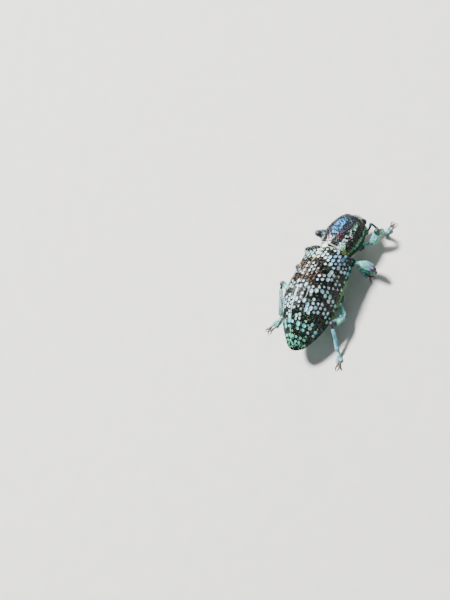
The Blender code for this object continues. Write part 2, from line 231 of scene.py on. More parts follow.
# %% Where scales stand and which way they lie
STEP = 1e-3
SPREAD_CELLS = 72
PLASTIC_FRACTIONS = 0.7548776662, 0.5698402910  # one over the plastic number, and its square


def stand(surface, u, v):
    """Point, lie (along rising u), across and outward directions of a surface at (u, v).

    Out is the side that, summed over all the places, points away from their middle.
    """
    point = surface(u, v)
    along = unit(surface(u + STEP, v) - surface(u - STEP, v))
    side = surface(u, v + STEP) - surface(u, v - STEP)
    out = unit(np.cross(along, side))
    out = out * np.sign(((point - point.mean(0)) * out).sum())
    return point, along, unit(np.cross(out, along)), out


def spread(surface, count, u_range=(0.0, 1.0), v_range=(0.0, 1.0), cells=SPREAD_CELLS):
    """Even cover of a surface: the two plastic-number fractions of k, read through the area's running sum."""
    u, v = np.linspace(*u_range, cells + 1), np.linspace(*v_range, cells + 1)
    points = surface(*lattice(u, v))
    down, along = points[1:, :-1] - points[:-1, :-1], points[:-1, 1:] - points[:-1, :-1]
    area = np.linalg.norm(np.cross(down, along), axis=-1)
    area = area + area.mean() * 1e-6
    rows = np.concatenate([[0], np.cumsum(area.sum(1))])
    columns = np.concatenate([np.zeros((cells, 1)), np.cumsum(area, axis=1)], axis=1)
    columns = columns / columns[:, -1:] + np.arange(cells)[:, None]
    first, second = (np.arange(1, count + 1) * fraction % 1 for fraction in PLASTIC_FRACTIONS)
    cell = np.clip(np.searchsorted(rows / rows[-1], first, side="right") - 1, 0, cells - 1)
    return np.interp(first, rows / rows[-1], u), np.interp(cell + second, columns.ravel(), np.tile(v, cells))


print("four even places on a flat square:", np.round(spread(lambda u, v: np.stack([u, v, 0 * u], -1), 4), 2))

# %% [markdown]
# One scale is a closed plate with six corners and a raised middle, pointed at its root. One granule is a
# low dome. Stamping moves, turns and sizes such a template at every place at once. Each scale also gets its
# own tiny patch on a flat map of the shell, at its root's place, so that its colour can be baked.

# %% One scale, one granule, one bristle
def ring(radius, height, sides):
    """Corners of a regular polygon of that radius, at that height."""
    angle = np.arange(sides) * 2 * math.pi / sides
    return np.stack([radius * np.cos(angle), radius * np.sin(angle), np.full(sides, height)], -1)


SCALE_POINTS = np.array([[-0.5, 0, -0.5], [-0.18, -0.4, -0.2], [0.3, -0.38, 0.1], [0.5, 0, 0.2],
                         [0.3, 0.38, 0.1], [-0.18, 0.4, -0.2], [0.05, 0, 1.0]])
SCALE_FACES = [[i, (i + 1) % 6, 6] for i in range(6)] + [[5, 4, 3, 2, 1, 0]]
DOME_POINTS = np.concatenate([ring(1.0, -0.35, 7), ring(0.74, 0.6, 7), [[0, 0, 1.0]]])
DOME_FACES = ([[i, (i + 1) % 7, 7 + (i + 1) % 7, 7 + i] for i in range(7)]
              + [[7 + i, 7 + (i + 1) % 7, 14] for i in range(7)] + [list(range(6, -1, -1))])
BRISTLE_POINTS = np.array([[0, -0.5, 0], [0, 0.5, 0], [0.5, 0, 0.8], [6.0, 0, 3.2]])
BRISTLE_FACES = [[0, 1, 3], [1, 2, 3], [2, 0, 3], [0, 2, 1]]
print("faces of a scale, a granule and a bristle:", len(SCALE_FACES), len(DOME_FACES), len(BRISTLE_FACES))

# %% Stamping scales and granules
PATCH_SIZE = 0.003
SCALE_WIDTH = 0.78
SCALE_HEIGHT = 0.022
SCALE_LIFT = 0.16


def on_map(across, up):
    """Place on the bake map of two numbers from 0 to 1, kept a hundredth clear of the map's edge."""
    return np.stack([0.01 + 0.98 * across, 0.01 + 0.98 * up], -1)


def stamp(template, faces, place, size, tint, root=None):
    """Copies of a template: point + along x + across y + out z, with x, y, z scaled by size (n, 3)."""
    point, along, across, out = place
    size = np.broadcast_to(size, (len(point), 3))
    local = template[None] * size[:, None]
    points = (point[:, None] + along[:, None] * local[..., :1] + across[:, None] * local[..., 1:2]
              + out[:, None] * local[..., 2:])
    count, each = len(point), len(template)
    corners = np.concatenate([np.array(face) for face in faces])
    part = {"points": points.reshape(-1, 3),
            "corners": (corners[None] + np.arange(count)[:, None] * each).ravel(),
            "sizes": np.tile([len(face) for face in faces], count),
            "tint": np.repeat(np.broadcast_to(tint, (count, 4)), each, axis=0)}
    if root is not None:
        part["patch"] = (root[:, None] + template[None, :, :2] * PATCH_SIZE).reshape(-1, 2)
    return part


def turned(place, angle, lift=0.0):
    """The same places with the lie turned by angle about the way out, and the tips raised by lift."""
    point, along, across, out = place
    c, s = np.cos(angle)[:, None], np.sin(angle)[:, None]
    along, across = along * c + across * s, across * c - along * s
    tip = unit(along + out * lift)
    return point, tip, across, unit(np.cross(tip, across))


def scales(surface, u, v, root, colour, length, seed, loose=0.3):
    """Scales at (u, v): they lie along the surface, each turned and shaded a little at random."""
    rng = np.random.default_rng(seed)
    place = turned(stand(surface, u, v), rng.normal(0, loose, len(u)), SCALE_LIFT)
    long = length * rng.uniform(0.85, 1.15, len(u))
    shade = rng.uniform(0.8, 1.12, (len(u), 1)) + rng.normal(0, 0.035, (len(u), 3))
    tint = covered(np.clip(np.broadcast_to(colour, (len(u), 3)) * shade, 0, 1), np.ones(len(u)))
    size = np.stack([long, long * SCALE_WIDTH, np.full(len(u), SCALE_HEIGHT)], -1)
    return stamp(SCALE_POINTS, SCALE_FACES, place, size, tint, root)


def granules(surface, u, v, radius, height):
    """Low bare domes at (u, v)."""
    size = np.stack([radius, radius, height], -1)
    return stamp(DOME_POINTS, DOME_FACES, stand(surface, u, v), size, (0, 0, 0, 0))


print("a scale is", SCALE_WIDTH, "times as wide as long, and", SCALE_HEIGHT, "mm thick")

# %% [markdown]
# The colours of the scales. They are bright because each scale throws back one colour like a thin film; the
# white ones do it for every colour at once.

# %% Scale colours
FROST = np.array([0.84, 0.98, 1.0])
ICE = np.array([0.16, 0.62, 0.95])
CREAM = np.array([0.80, 0.84, 0.52])
MINT = np.array([0.14, 0.72, 0.42])
SEA = np.array([0.04, 0.45, 0.27])
TEAL = np.array([0.02, 0.30, 0.26])
AZURE = np.array([0.02, 0.20, 0.66])
LEAF = np.array([0.15, 0.36, 0.04])
LIME = np.array([0.40, 0.64, 0.04])
RUST = np.array([0.26, 0.085, 0.025])
GOLD = np.array([0.85, 0.42, 0.08])
# pink, partly the scales' own colour and partly a painted glint of light off the granules
ROSE_AND_GLINT = np.array([0.45, 0.07, 0.12])
LILAC = np.array([0.085, 0.06, 0.12])
UMBER = np.array([0.15, 0.08, 0.05])


def blend(first, second, share):
    """Colour a share of the way from first to second."""
    share = np.asarray(share, float)[..., None]
    return first * (1 - share) + second * share


print("half way from mint to frost:", blend(MINT, FROST, 0.5))

# %% [markdown]
# Materials come next. The shell is black, fine-grained and glossy; where scales cover it, the shell under
# them takes a dull shade of their colour, so that no black shows between plates. Noise in the roughness and
# the bump gives the grain. Everything is read from Object coordinates and from the tint on the mesh, so it
# stays on the piece from every side. A few short helpers make and join the nodes.

# %% Helpers for nodes
def new_material(name):
    """An empty material, its nodes, and the shader that the colour and the grain go into."""
    material = bpy.data.materials.new(name)
    material.use_nodes = True
    return material, material.node_tree, material.node_tree.nodes["Principled BSDF"]


def add(tree, kind, **settings):
    """A new node; settings named after sockets are values, the others are the node's own options."""
    node = tree.nodes.new(kind)
    for key, value in settings.items():
        if key in node.inputs:
            node.inputs[key].default_value = value
        else:
            setattr(node, key, value)
    return node


def grain(tree, scale, detail=3.0):
    """Noise in Object coordinates, scale cells to the metre."""
    place = add(tree, "ShaderNodeTexCoord")
    noise = add(tree, "ShaderNodeTexNoise", Scale=scale, Detail=detail)
    tree.links.new(place.outputs["Object"], noise.inputs["Vector"])
    return noise.outputs["Fac"]


def between(tree, source, low, high):
    """The source, which mostly runs from 0.3 to 0.7, stretched to run from low to high."""
    stretch = add(tree, "ShaderNodeMapRange",
                  **{"From Min": 0.3, "From Max": 0.7, "To Min": low, "To Max": high})
    tree.links.new(source, stretch.inputs["Value"])
    return stretch.outputs["Result"]


def bumped(tree, shader, source, strength, depth):
    """Bump on the shader from the source, depth metres from its lowest to its highest."""
    bump = add(tree, "ShaderNodeBump", Strength=strength, Distance=depth)
    tree.links.new(source, bump.inputs["Height"])
    tree.links.new(bump.outputs["Normal"], shader.inputs["Normal"])


def mixed(tree, factor, first, second, blend_type="MIX"):
    """Mix of two colours, each a colour or a socket."""
    mix = tree.nodes.new("ShaderNodeMix")
    mix.data_type, mix.blend_type = "RGBA", blend_type
    for socket, value in ((mix.inputs[0], factor), (mix.inputs[6], first), (mix.inputs[7], second)):
        if isinstance(value, bpy.types.NodeSocket):
            tree.links.new(value, socket)
        else:
            socket.default_value = value
    return mix.outputs[2]


print("a noise of 9,000 cells to the metre has cells", round(1000 / 9000, 2), "mm across")

# %% [markdown]
# The noise sizes are cells to the metre, as Blender counts them: 2,500 means patches 0.4 mm across, and
# 9,000 a grain of about a tenth of a millimetre. They stand for what a hand lens shows: a smooth black
# shell with a faint mottle, finer ribs on the scales, and a felt of short bristles on the soles.

# %% Shell and scale materials
def shell_material(name, dark, light, rough, bump_size=9000.0, bump=0.35, shine=0.5):
    """Black shell: two dark shades by noise, under a dull coat of the tint where scales cover it."""
    material, tree, shader = new_material(name)
    black = mixed(tree, between(tree, grain(tree, 2500.0), 0.0, 1.0), (*dark, 1), (*light, 1))
    tint = add(tree, "ShaderNodeAttribute", attribute_name="tint")
    dull = mixed(tree, 1.0, tint.outputs["Color"], (0.42, 0.42, 0.42, 1), "MULTIPLY")
    tree.links.new(mixed(tree, tint.outputs["Alpha"], black, dull), shader.inputs["Base Color"])
    tree.links.new(between(tree, grain(tree, 6000.0), *rough), shader.inputs["Roughness"])
    shader.inputs["Specular IOR Level"].default_value = shine
    bumped(tree, shader, grain(tree, bump_size, 4.0), bump, 0.00003)
    return material


def scale_material(name, metallic, rough):
    """Scale: its own tint, a little uneven, with a soft metallic sheen and fine ribs."""
    material, tree, shader = new_material(name)
    tint = add(tree, "ShaderNodeAttribute", attribute_name="tint")
    uneven = between(tree, grain(tree, 14000.0), 0.82, 1.0)
    tree.links.new(mixed(tree, 1.0, tint.outputs["Color"], uneven, "MULTIPLY"), shader.inputs["Base Color"])
    shader.inputs["Metallic"].default_value = metallic
    tree.links.new(between(tree, grain(tree, 9000.0), *rough), shader.inputs["Roughness"])
    bumped(tree, shader, grain(tree, 30000.0, 2.0), 0.25, 0.00001)
    return material


print("materials of the solids, which no longer show:", len(bpy.data.materials))

# %% The finishes
black_shell = shell_material("black_shell", (0.0012, 0.0015, 0.0024), (0.0036, 0.0042, 0.0066), (0.2, 0.34),
                             shine=0.15)
spangled_shell = shell_material("spangled_shell", (0.001, 0.0012, 0.0018), (0.003, 0.004, 0.005),
                                (0.18, 0.32), shine=0.14)
polished_granules = shell_material("polished_granules", (0.0012, 0.0012, 0.0024), (0.0042, 0.0036, 0.006),
                                   (0.12, 0.2), shine=0.28)
leg_shell = shell_material("leg_shell", (0.004, 0.005, 0.007), (0.012, 0.013, 0.017), (0.24, 0.4), shine=0.3)
claw_horn = shell_material("claw_horn", (0.03, 0.014, 0.012), (0.13, 0.055, 0.04), (0.15, 0.28),
                           5000.0, 0.15)
foot_pad = shell_material("foot_pad", (0.16, 0.13, 0.08), (0.3, 0.25, 0.16), (0.6, 0.85), 40000.0, 0.9)
eye_glass = shell_material("eye_glass", (0.004, 0.004, 0.005), (0.012, 0.01, 0.012), (0.08, 0.16),
                           20000.0, 0.15, 0.3)
bright_scales = scale_material("bright_scales", 0.15, (0.3, 0.46))
print("materials:", [material.name for material in bpy.data.materials])

# %% [markdown]
# ## Wing cases
#
# A wing case is one strongly arched plate. Its cross-section is a superellipse, boxier than an ellipse, and
# its width and crest follow a few stations from base to tip. One function gives any point on it from two
# numbers: t runs from base to tip, and q from the seam down to the side margin.

# %% The arched back
ELYTRA_LENGTH = 14.0
COAT_DEPTH = 0.03
SEAM_GAP = 0.012
CLOSE_FROM, CLOSE_OVER = 0.965, 0.035
half_width = through([(0, 2.6), (0.055, 3.42), (0.2, 3.38), (0.57, 3.55), (0.72, 3.1), (0.85, 2.3),
                      (0.94, 1.5), (0.985, 0.9), (1, 0.6)])
crest = through([(0, 6.3), (0.08, 6.8), (0.25, 7.45), (0.48, 7.8), (0.66, 7.4), (0.8, 6.35),
                 (0.92, 4.9), (1, 3.6)])
margin = through([(0, 4.0), (0.15, 3.3), (0.4, 2.95), (0.8, 2.85), (1, 3.1)])
arch_power = through([(0, 0.72), (0.1, 0.8), (0.5, 0.86), (1, 1.0)])


def arch(t, q, inset=0.0):
    """(x, z) of the arch: a superellipse read by its polar angle 90 q, with a bump at the shoulder."""
    theta = np.clip(q, 1e-4, 1) * math.pi / 2
    sine, cosine = np.sin(theta), np.maximum(np.cos(theta), 1e-9)
    power, low, width = arch_power(t), margin(t), half_width(t)
    rise = crest(t) - low
    degrees = np.degrees(np.arctan2(sine ** (1 / power), cosine ** (1 / power)))
    bump = 0.35 * np.exp(-((t - 0.05) / 0.04) ** 2 - ((degrees - 58) / 20) ** 2)
    reach = (sine ** (2 / power) + cosine ** (2 / power)) ** (-power / 2)
    width = np.maximum(width - inset, 0.35 * width) + bump
    rise = np.maximum(rise - inset, 0.35 * rise) + bump
    return width * reach * sine, low + rise * reach * cosine


def smooth_back(t, q, inset=0.0):
    """Point of the right-handed back, seam at x = 0, closing to a round tip over the last 3 percent."""
    t = np.clip(t, 0, 1)
    x, z = arch(t, q, inset)
    close = np.sqrt(np.clip(1 - (np.clip(t - CLOSE_FROM, 0, 1) / CLOSE_OVER) ** 2, 0.0, 1))
    middle = (margin(t) + crest(t)) / 2
    x = SEAM_GAP + x * (0.12 + 0.88 * close)
    return np.stack([x, t * ELYTRA_LENGTH, middle + (z - middle) * close], -1)


T_TABLE = np.linspace(0, 1, 400)
walk = smooth_back(T_TABLE, np.full(400, 0.45))
S_TABLE = np.concatenate([[0], np.cumsum(np.linalg.norm(np.diff(walk, axis=0), axis=1))])
rings = smooth_back(*lattice(T_TABLE, np.linspace(0, 1, 60)))
ARC_TABLE = np.linalg.norm(np.diff(rings, axis=1), axis=-1).sum(1)


def t_at(s):
    """t at s millimetres along the back."""
    return np.interp(s, S_TABLE, T_TABLE)


def arc_at(t):
    """Millimetres over the arch from seam to margin, at t."""
    return np.interp(t, T_TABLE, ARC_TABLE)


print(f"wing case: {S_TABLE[-1]:.1f} mm over its length, {ARC_TABLE.max():.1f} mm from seam to margin")

# %% [markdown]
# The pits stand in ten rows on each wing case. Their sizes aren't even: they swell and brighten in bands
# that cross the back, broken and shifted from row to row, which is what makes the spangled look. So each
# pit's brightness is worked out first, from a wave along the back and some chance, and its size and colour
# follow. Towards the tip the rows draw together, and every other row fades out to leave room for its
# neighbours.

# %% The pits of one wing case
PIT_ROWS = 10
ARC_ROWS = PIT_ROWS + 0.55  # rows that would fit between seam and margin
PIT_SPACING = 0.6
BAND_SPACING = 2.35


def make_pits(seed):
    """Places (s, q) of the pits with their half lengths, half widths, brightness and depth."""
    rng = np.random.default_rng(seed)
    steps = np.arange(0.5, S_TABLE[-1] - 0.45, PIT_SPACING)
    s, row = (values.ravel() for values in lattice(steps, np.arange(PIT_ROWS)))
    odd = row % 2 == 1
    s = s + np.where(odd, PIT_SPACING / 2, 0) + rng.normal(0, 0.05, len(s))
    q = (row + 0.72) / ARC_ROWS + rng.normal(0, 0.006, len(s))
    t = t_at(s)
    shift = 0.9 * np.sin(row * 1.25 + 0.6)
    wave = 0.5 + 0.5 * np.cos(2 * math.pi * s / BAND_SPACING + shift + 0.5 * np.sin(s * 0.9))
    bright = np.clip(0.08 + 0.72 * wave + rng.normal(0, 0.27, len(s)), 0, 1)
    dusky = np.exp(-((t - 0.33) / 0.13) ** 2 - ((q - 0.2) / 0.2) ** 2)
    crowded = ramp(t, 0.74, 0.82)
    bright = bright * (1 - 0.5 * dusky) * np.where(odd, 1 - crowded, 1 + 0.25 * crowded)
    bright = bright * (1 - 0.55 * ramp(t, 0.86, 0.94) * (rng.uniform(0, 1, len(s)) < 0.7))
    room = np.clip(arc_at(t) / ARC_ROWS * (1 + 0.8 * crowded), 0.1, 1)
    wide = np.minimum(0.085 + 0.19 * bright ** 0.8, 0.42 * room)
    drawn = 0.75 * np.clip(bright - 0.5, 0, 1) * rng.uniform(0.2, 1.8, len(s)) * (1 - crowded * 0.8)
    return {"s": s, "q": q, "t": t, "wide": wide, "long": wide * (1.0 + drawn), "bright": bright,
            "depth": 0.045 + 0.07 * bright * np.clip(room / 0.6, 0.3, 1),
            "colour": pit_colours(t, q, bright, dusky, rng)}


def pit_colours(t, q, bright, dusky, rng):
    """One colour for each pit: frost or ice where bright, mint to the tip, rust or dark green where dull."""
    count = len(t)
    pale = blend(FROST, ICE, np.clip(rng.normal(0.1, 0.32, count), 0, 1))
    green = np.maximum(ramp(t, 0.68, 0.9), ramp(q, 0.82, 0.97) * 0.8)
    pale = blend(pale, MINT, np.clip(green + rng.normal(0, 0.16, count), 0, 1) * 0.9)
    shoulder = fall(t, 0.1, 0.2) * ramp(q, 0.3, 0.5)
    pale = blend(pale, AZURE, shoulder * rng.uniform(0.0, 0.7, count))
    rusty = (rng.uniform(0, 1, count) < 0.12 + 0.45 * dusky) * (t < 0.7)
    dull = blend(blend(TEAL, LEAF, rng.uniform(0, 1, count)) * 0.6, RUST, rusty)
    return blend(dull, pale, ramp(bright, 0.2, 0.34))


PITS = {side: make_pits(seed) for side, seed in (("left", 11), ("right", 12))}
print("pits on each wing case:", len(PITS["left"]["s"]))

# %% [markdown]
# The skin of a wing case is the smooth back pressed in along its own way out: by the rounded edges, by the
# grain, and by the deepest pit at each place. Low ribs run between the rows. Because it is still one
# function of two numbers, the same skin serves the mesh, the granules and the scales.

# %% The skin with its pits
PLACES_AT_ONCE = 8000  # keeps the table of places against pits small


def pit_reading(t, q, pits):
    """Depth below the smooth back, and which pit makes it: a bowl, flat inside and steep at the rim."""
    shape = np.shape(t)
    t, q = np.ravel(t), np.ravel(q)
    s, arc = np.interp(t, T_TABLE, S_TABLE), arc_at(t)
    depth, which = np.zeros(len(t)), np.zeros(len(t), int)
    for start in range(0, len(t), PLACES_AT_ONCE):
        part = slice(start, start + PLACES_AT_ONCE)
        ahead = (s[part, None] - pits["s"]) / pits["long"]
        aside = (q[part, None] - pits["q"]) * arc[part, None] / pits["wide"]
        bowls = pits["depth"] * fall(np.sqrt(ahead ** 2 + aside ** 2), 0.62, 1.12)
        depth[part], which[part] = bowls.max(axis=1), bowls.argmax(axis=1)
    return depth.reshape(shape), which.reshape(shape)


def rolled(distance, radius):
    """How far an edge of that radius has dropped at a distance from it: r - sqrt(r^2 - (r - d)^2)."""
    short = radius - np.clip(distance, 0, radius)
    return radius - np.sqrt(np.maximum(radius ** 2 - short ** 2, 0))


def elytron_skin(side, pits):
    """The outer surface of one wing case, as a function of (t, q) with its pits, ribs and rolled edges."""
    def skin(t, q):
        t, q = paired(t, q)
        smooth = smooth_back(t, q)
        along = smooth_back(t + 2e-3, q) - smooth_back(t - 2e-3, q)
        around = smooth_back(t, q + 2e-3) - smooth_back(t, q - 2e-3)
        out = unit(np.cross(around, along))
        out = out * np.where((out * (smooth - [0, 0, 4.0])).sum(-1, keepdims=True) < 0, -1, 1)
        arc = arc_at(t)
        rib = 0.018 * np.cos(2 * math.pi * (q * ARC_ROWS - 0.22)) * ramp(t, 0.0, 0.06)
        drop = (COAT_DEPTH + rolled(t * ELYTRA_LENGTH, 0.2) + rolled(q * arc, 0.07)
                + rolled((1 - q) * arc, 0.09) + pit_reading(t, q, pits)[0] - rib)
        grained = 0.014 * ripple(smooth, 0.32, 5) + 0.008 * ripple(smooth, 0.17, 7)
        return (smooth - out * (drop - grained)[..., None]) * [side, 1, 1]
    return skin


print("deepest pit:", round(float(PITS["left"]["depth"].max()), 3), "mm")

# %% [markdown]
# The wing case as a mesh is a closed loop at each step along the back: out over the arch, round the margin
# and back along the inside half a millimetre below. The rows are closer at the base and tip, where the edge
# rolls over.

# %% Build the wing cases
SHELL_THICKNESS = 0.5


def elytron_tint(side_name, t, q, points):
    """Colour and cover of the shell under the scales: a pit's floor takes a shade of its scales' colour."""
    pits = PITS[side_name]
    depth, which = pit_reading(t, q, pits)
    floor_cover = ramp(depth, 0.02, 0.06) * ramp(pits["bright"][which], 0.2, 0.5) * 0.7
    side_green = (ramp(q, 0.93, 0.96) * ramp(ripple(points, 1.2, 8), -0.5, 0.3) * ramp(t, 0.2, 0.3)
                  * fall(t, 0.55, 0.7))
    colour = blend(pits["colour"][which], LEAF, side_green)
    return covered(colour, np.maximum(floor_cover, side_green * 0.6))


def build_elytron(side_name):
    """The closed shell of one wing case, and the skin that it was read from."""
    side = 1 if side_name == "left" else -1
    skin = elytron_skin(side, PITS[side_name])
    t = np.concatenate([np.linspace(0, 0.018, 8), np.linspace(0.022, 0.962, 236), np.linspace(0.966, 1, 16)])
    t_out, q_out = lattice(t, np.linspace(0, 1, 112))
    outer = skin(t_out, q_out)
    inner = smooth_back(*lattice(t, np.linspace(1, 0, 22)), SHELL_THICKNESS) * [side, 1, 1]
    tint = [elytron_tint(side_name, t_out, q_out, outer), np.zeros((*inner.shape[:2], 4))]
    return shell(np.concatenate([outer, inner], axis=1), np.concatenate(tint, axis=1)), skin


ELYTRA = {}
for name in ("left", "right"):
    part, ELYTRA[name] = build_elytron(name)
    make_piece("wing_case_" + name, part, spangled_shell, "spangled_shell", ["elytron_" + name])

# %% [markdown]
# Between the rows of pits the shell is studded with small black granules. They are separate low domes: on
# the grid of the wing case they would be only a few points across and look like noise.

# %% Granules between the pits
def elytron_granules(side_name):
    """Domes every third of a millimetre on the ribs, left out where a pit or an edge would take them."""
    rng = np.random.default_rng(21)
    steps = np.arange(0.3, S_TABLE[-1] - 0.5, 0.34)
    s, row = (values.ravel() for values in lattice(steps, np.arange(PIT_ROWS + 1)))
    s = s + rng.normal(0, 0.06, len(s))
    q = (row + 0.2) / ARC_ROWS + rng.normal(0, 0.004, len(s))
    t = t_at(s)
    keep = (pit_reading(t, q, PITS[side_name])[0] < 0.012) & (q > 0.02) & (q < 0.97)
    t, q = t[keep], q[keep]
    room = np.clip(arc_at(t) / 7, 0.35, 1)
    radius = rng.uniform(0.055, 0.1, len(t)) * room
    return granules(ELYTRA[side_name], t, q, radius, radius * 0.62)


for name in ("left", "right"):
    make_piece("wing_granules_" + name, elytron_granules(name), polished_granules, "spangled_shell")

# %% [markdown]
# ## Scales in the pits
#
# Each pit is filled by its own round of scales, laid like the seeds of a sunflower so that they fill it
# evenly. Bright pits are frost white with a blue or teal rim, those near the tip and the sides mint green,
# and the small dull ones keep a few rust or green scales. A thin line follows the seam, and patches lie on
# the edges. Over the rest of the shell there are only single scales, some of them gold.

# %% Scales in the pits
SCALE_LENGTH = 0.15
GOLDEN_ANGLE = 2.39996
BARE_COUNT, FULL_COUNT = 50, 190  # scales to the square millimetre in a dull pit and in a bright one


def pit_scales(side_name, seed):
    """Scales of all pits: the i-th of n in a pit stands at radius sqrt((i + 0.5) / n).

    Each is turned 137.5 degrees, which is 2.39996 radians, from the one before. The outer ones of a bright
    pit turn blue or teal, so that each spot has a coloured rim.
    """
    pits = PITS[side_name]
    rng = np.random.default_rng(seed)
    area = math.pi * pits["wide"] * pits["long"]
    per_area = BARE_COUNT + (FULL_COUNT - BARE_COUNT) * ramp(pits["bright"], 0.1, 0.4)
    number = np.maximum((area * per_area).astype(int), 2)
    pit = np.repeat(np.arange(len(number)), number)
    i = np.arange(len(pit)) - np.repeat(np.cumsum(number) - number, number)
    radius, angle = 0.92 * np.sqrt((i + 0.5) / number[pit]), i * GOLDEN_ANGLE
    t = t_at(pits["s"][pit] + pits["long"][pit] * radius * np.cos(angle))
    q = pits["q"][pit] + pits["wide"][pit] * radius * np.sin(angle) / arc_at(t)
    keep = (q > 0.01) & (q < 0.99) & (t > 0.004) & (t < 0.99)
    rim = ramp(radius, 0.4, 0.9) * pits["bright"][pit] * rng.uniform(0.2, 1.0, len(pit))
    own = pits["colour"][pit] * (1 + 0.08 * rng.normal(size=(len(pit), 1)))
    colour = blend(own, blend(ICE, TEAL, 0.3), rim * 0.9)
    return t[keep], q[keep], colour[keep]


print("scales in the pits of the left wing case:", len(pit_scales("left", 31)[0]))

# %% Scales along the seam and on the edges
SEAM_COUNT = 1500
SEAM_STATIONS = [  # t, how far the line reaches from the seam in mm
    (0, 0.34), (0.05, 0.26), (0.14, 0.14), (0.2, 0.06), (0.42, 0.06), (0.46, 0.14), (0.66, 0.12),
    (0.72, 0.05), (1, 0.05)]
SEAM_SHARES = [  # t, share of the places that have a scale
    (0, 1), (0.16, 0.85), (0.2, 0.6), (0.42, 0.5), (0.46, 0.7), (0.66, 0.6), (0.72, 0.15), (1, 0.1)]
EDGE_COUNT = 26000


def seam_scales(seed):
    """Thin broken line of scales along the seam: cream at the base, umber, frost, and mint at the tip."""
    rng = np.random.default_rng(seed)
    t = (np.arange(SEAM_COUNT) + rng.uniform(0, 1, SEAM_COUNT)) / SEAM_COUNT
    reach, share = (np.interp(t, *zip(*stations)) for stations in (SEAM_STATIONS, SEAM_SHARES))
    q = rng.uniform(0, 1, SEAM_COUNT) * reach / arc_at(t)
    colour = np.stack([np.interp(t, [0, 0.14, 0.2, 0.42, 0.47, 0.66, 0.78, 1], [c, c, u, u, f, f, m, m])
                       for c, u, f, m in zip(CREAM, UMBER, FROST * 0.85, MINT)], -1)
    keep = (rng.uniform(0, 1, SEAM_COUNT) < share) & (ripple(smooth_back(t, q), 0.5, 6) > -0.55)
    return t[keep], q[keep], colour[keep]


def edge_scales(seed):
    """Scales on the base edge, the side margin and the tip, thinned by soft noise; then dust and sparks.

    Of evenly spread places, one keeps its scale when a random number falls below the share wanted there.
    """
    rng = np.random.default_rng(seed)
    t, q = spread(smooth_back, EDGE_COUNT, (0.003, 0.985), (0.012, 0.985))
    points = smooth_back(t, q)
    base = fall(t * ELYTRA_LENGTH, 0.1, 0.3) * (1 - ramp(q, 0.3, 0.6) * 0.75)
    side = fall((1 - q) * arc_at(t), 0.2, 0.5) * ramp(t, 0.18, 0.26) * fall(t, 0.58, 0.72)
    tip = ramp(t, 0.9, 0.97) * 0.1
    dusky = np.exp(-((t - 0.33) / 0.13) ** 2 - ((q - 0.25) / 0.22) ** 2)
    sparks = (ripple(points, 0.26, 61) > 1.3) * np.maximum(dusky, 0.15)
    dust = 0.01 + 0.025 * (ripple(points, 1.4, 3) > 0.35) + 0.012 * dusky + 0.28 * sparks
    patches = ramp(ripple(points, 0.9, 9 + seed), -0.7, 0.4)
    want = np.maximum.reduce([base * 0.85, side * patches * 0.85, tip * patches, dust])
    keep = rng.uniform(0, 1, len(t)) < want
    colour = blend(TEAL, LEAF, ramp(ripple(points, 1.5, 4), -0.3, 0.5)) * 0.6
    colour = blend(colour, RUST, np.clip(ramp(ripple(points, 1.1, 14), 0.1, 0.5) * 0.6 + dusky, 0, 1))
    for over, share in ((GOLD, ramp(sparks, 0.1, 0.3)), (CREAM, base * fall(q, 0.2, 0.5)), (LEAF, side * 0.8),
                        (MINT, tip * 8)):
        colour = blend(colour, over, share)
    return t[keep], q[keep], colour[keep]


print("scales along one side of the seam:", len(seam_scales(31)[0]))

# %% The coat of the wing cases
def elytron_coat(side_name, seed):
    """All scales of one wing case, with the bake map laid out as the back is: q across and t up."""
    t, q, colour = (np.concatenate(arrays) for arrays in zip(
        pit_scales(side_name, seed), seam_scales(seed), edge_scales(seed)))
    return scales(ELYTRA[side_name], t, q, on_map(q, t), colour, SCALE_LENGTH, seed, loose=0.45)


for name, seed in (("left", 31), ("right", 32)):
    make_piece("wing_scales_" + name, elytron_coat(name, seed), bright_scales, "spangled_shell")

# %% [markdown]
# ## Prothorax
#
# A barrel on its own axis, turned a little to the beetle's right and dipping to the head. It is made as
# rings along that axis; at each end the rings turn inwards, so that it closes in a lip round the neck.

# %% Where the prothorax stands
def turn(axis, degrees):
    """Rotation about one axis, as a matrix."""
    return np.array(Matrix.Rotation(math.radians(degrees), 3, axis))


PROTHORAX_BASE = np.array([0.0, -0.28, 4.12])
PROTHORAX_LENGTH = 5.12
PROTHORAX_TURN = turn("Z", -10) @ turn("X", 6)
barrel_width = through([(0, 2.12), (0.12, 2.35), (0.42, 2.68), (0.75, 2.35), (1, 1.74)])
barrel_height = through([(0, 1.88), (0.12, 2.07), (0.45, 2.3), (0.75, 2.07), (1, 1.66)])


def on_prothorax(local):
    """Millimetre points from the barrel's own axes, where -Y runs to the head."""
    return local @ PROTHORAX_TURN.T + PROTHORAX_BASE


print("the prothorax's front is at", np.round(on_prothorax(np.array([0, -PROTHORAX_LENGTH, 0])), 2), "mm")

# %% The barrel
def set_back(s, a):
    """The share of the length at (s, a), less where the lower front edge is cut back for the snout."""
    angle = np.asarray(a) * 2 * math.pi
    notch = fall(np.abs(np.sin(angle)), 0.36, 0.66) * (np.cos(angle) < 0)
    return s - 0.2 * notch * ramp(s, 0.5, 1.0)


def barrel(s, a, drop=COAT_DEPTH):
    """Point of the barrel: s from base to front, a round it in turns, 0 on top and rising to the left."""
    angle = np.asarray(a) * 2 * math.pi
    dip = drop + rolled(s * PROTHORAX_LENGTH, 0.16) + rolled((1 - s) * PROTHORAX_LENGTH, 0.2)
    groove = 0.1 * bell(s, 0.93, 0.022) + 0.05 * bell(s, 0.05, 0.015)
    dip, s = dip + groove, set_back(s, a)
    return on_prothorax(np.stack([(barrel_width(s) - dip) * np.sin(angle), -s * PROTHORAX_LENGTH,
                                  (barrel_height(s) - dip) * np.cos(angle)], -1))


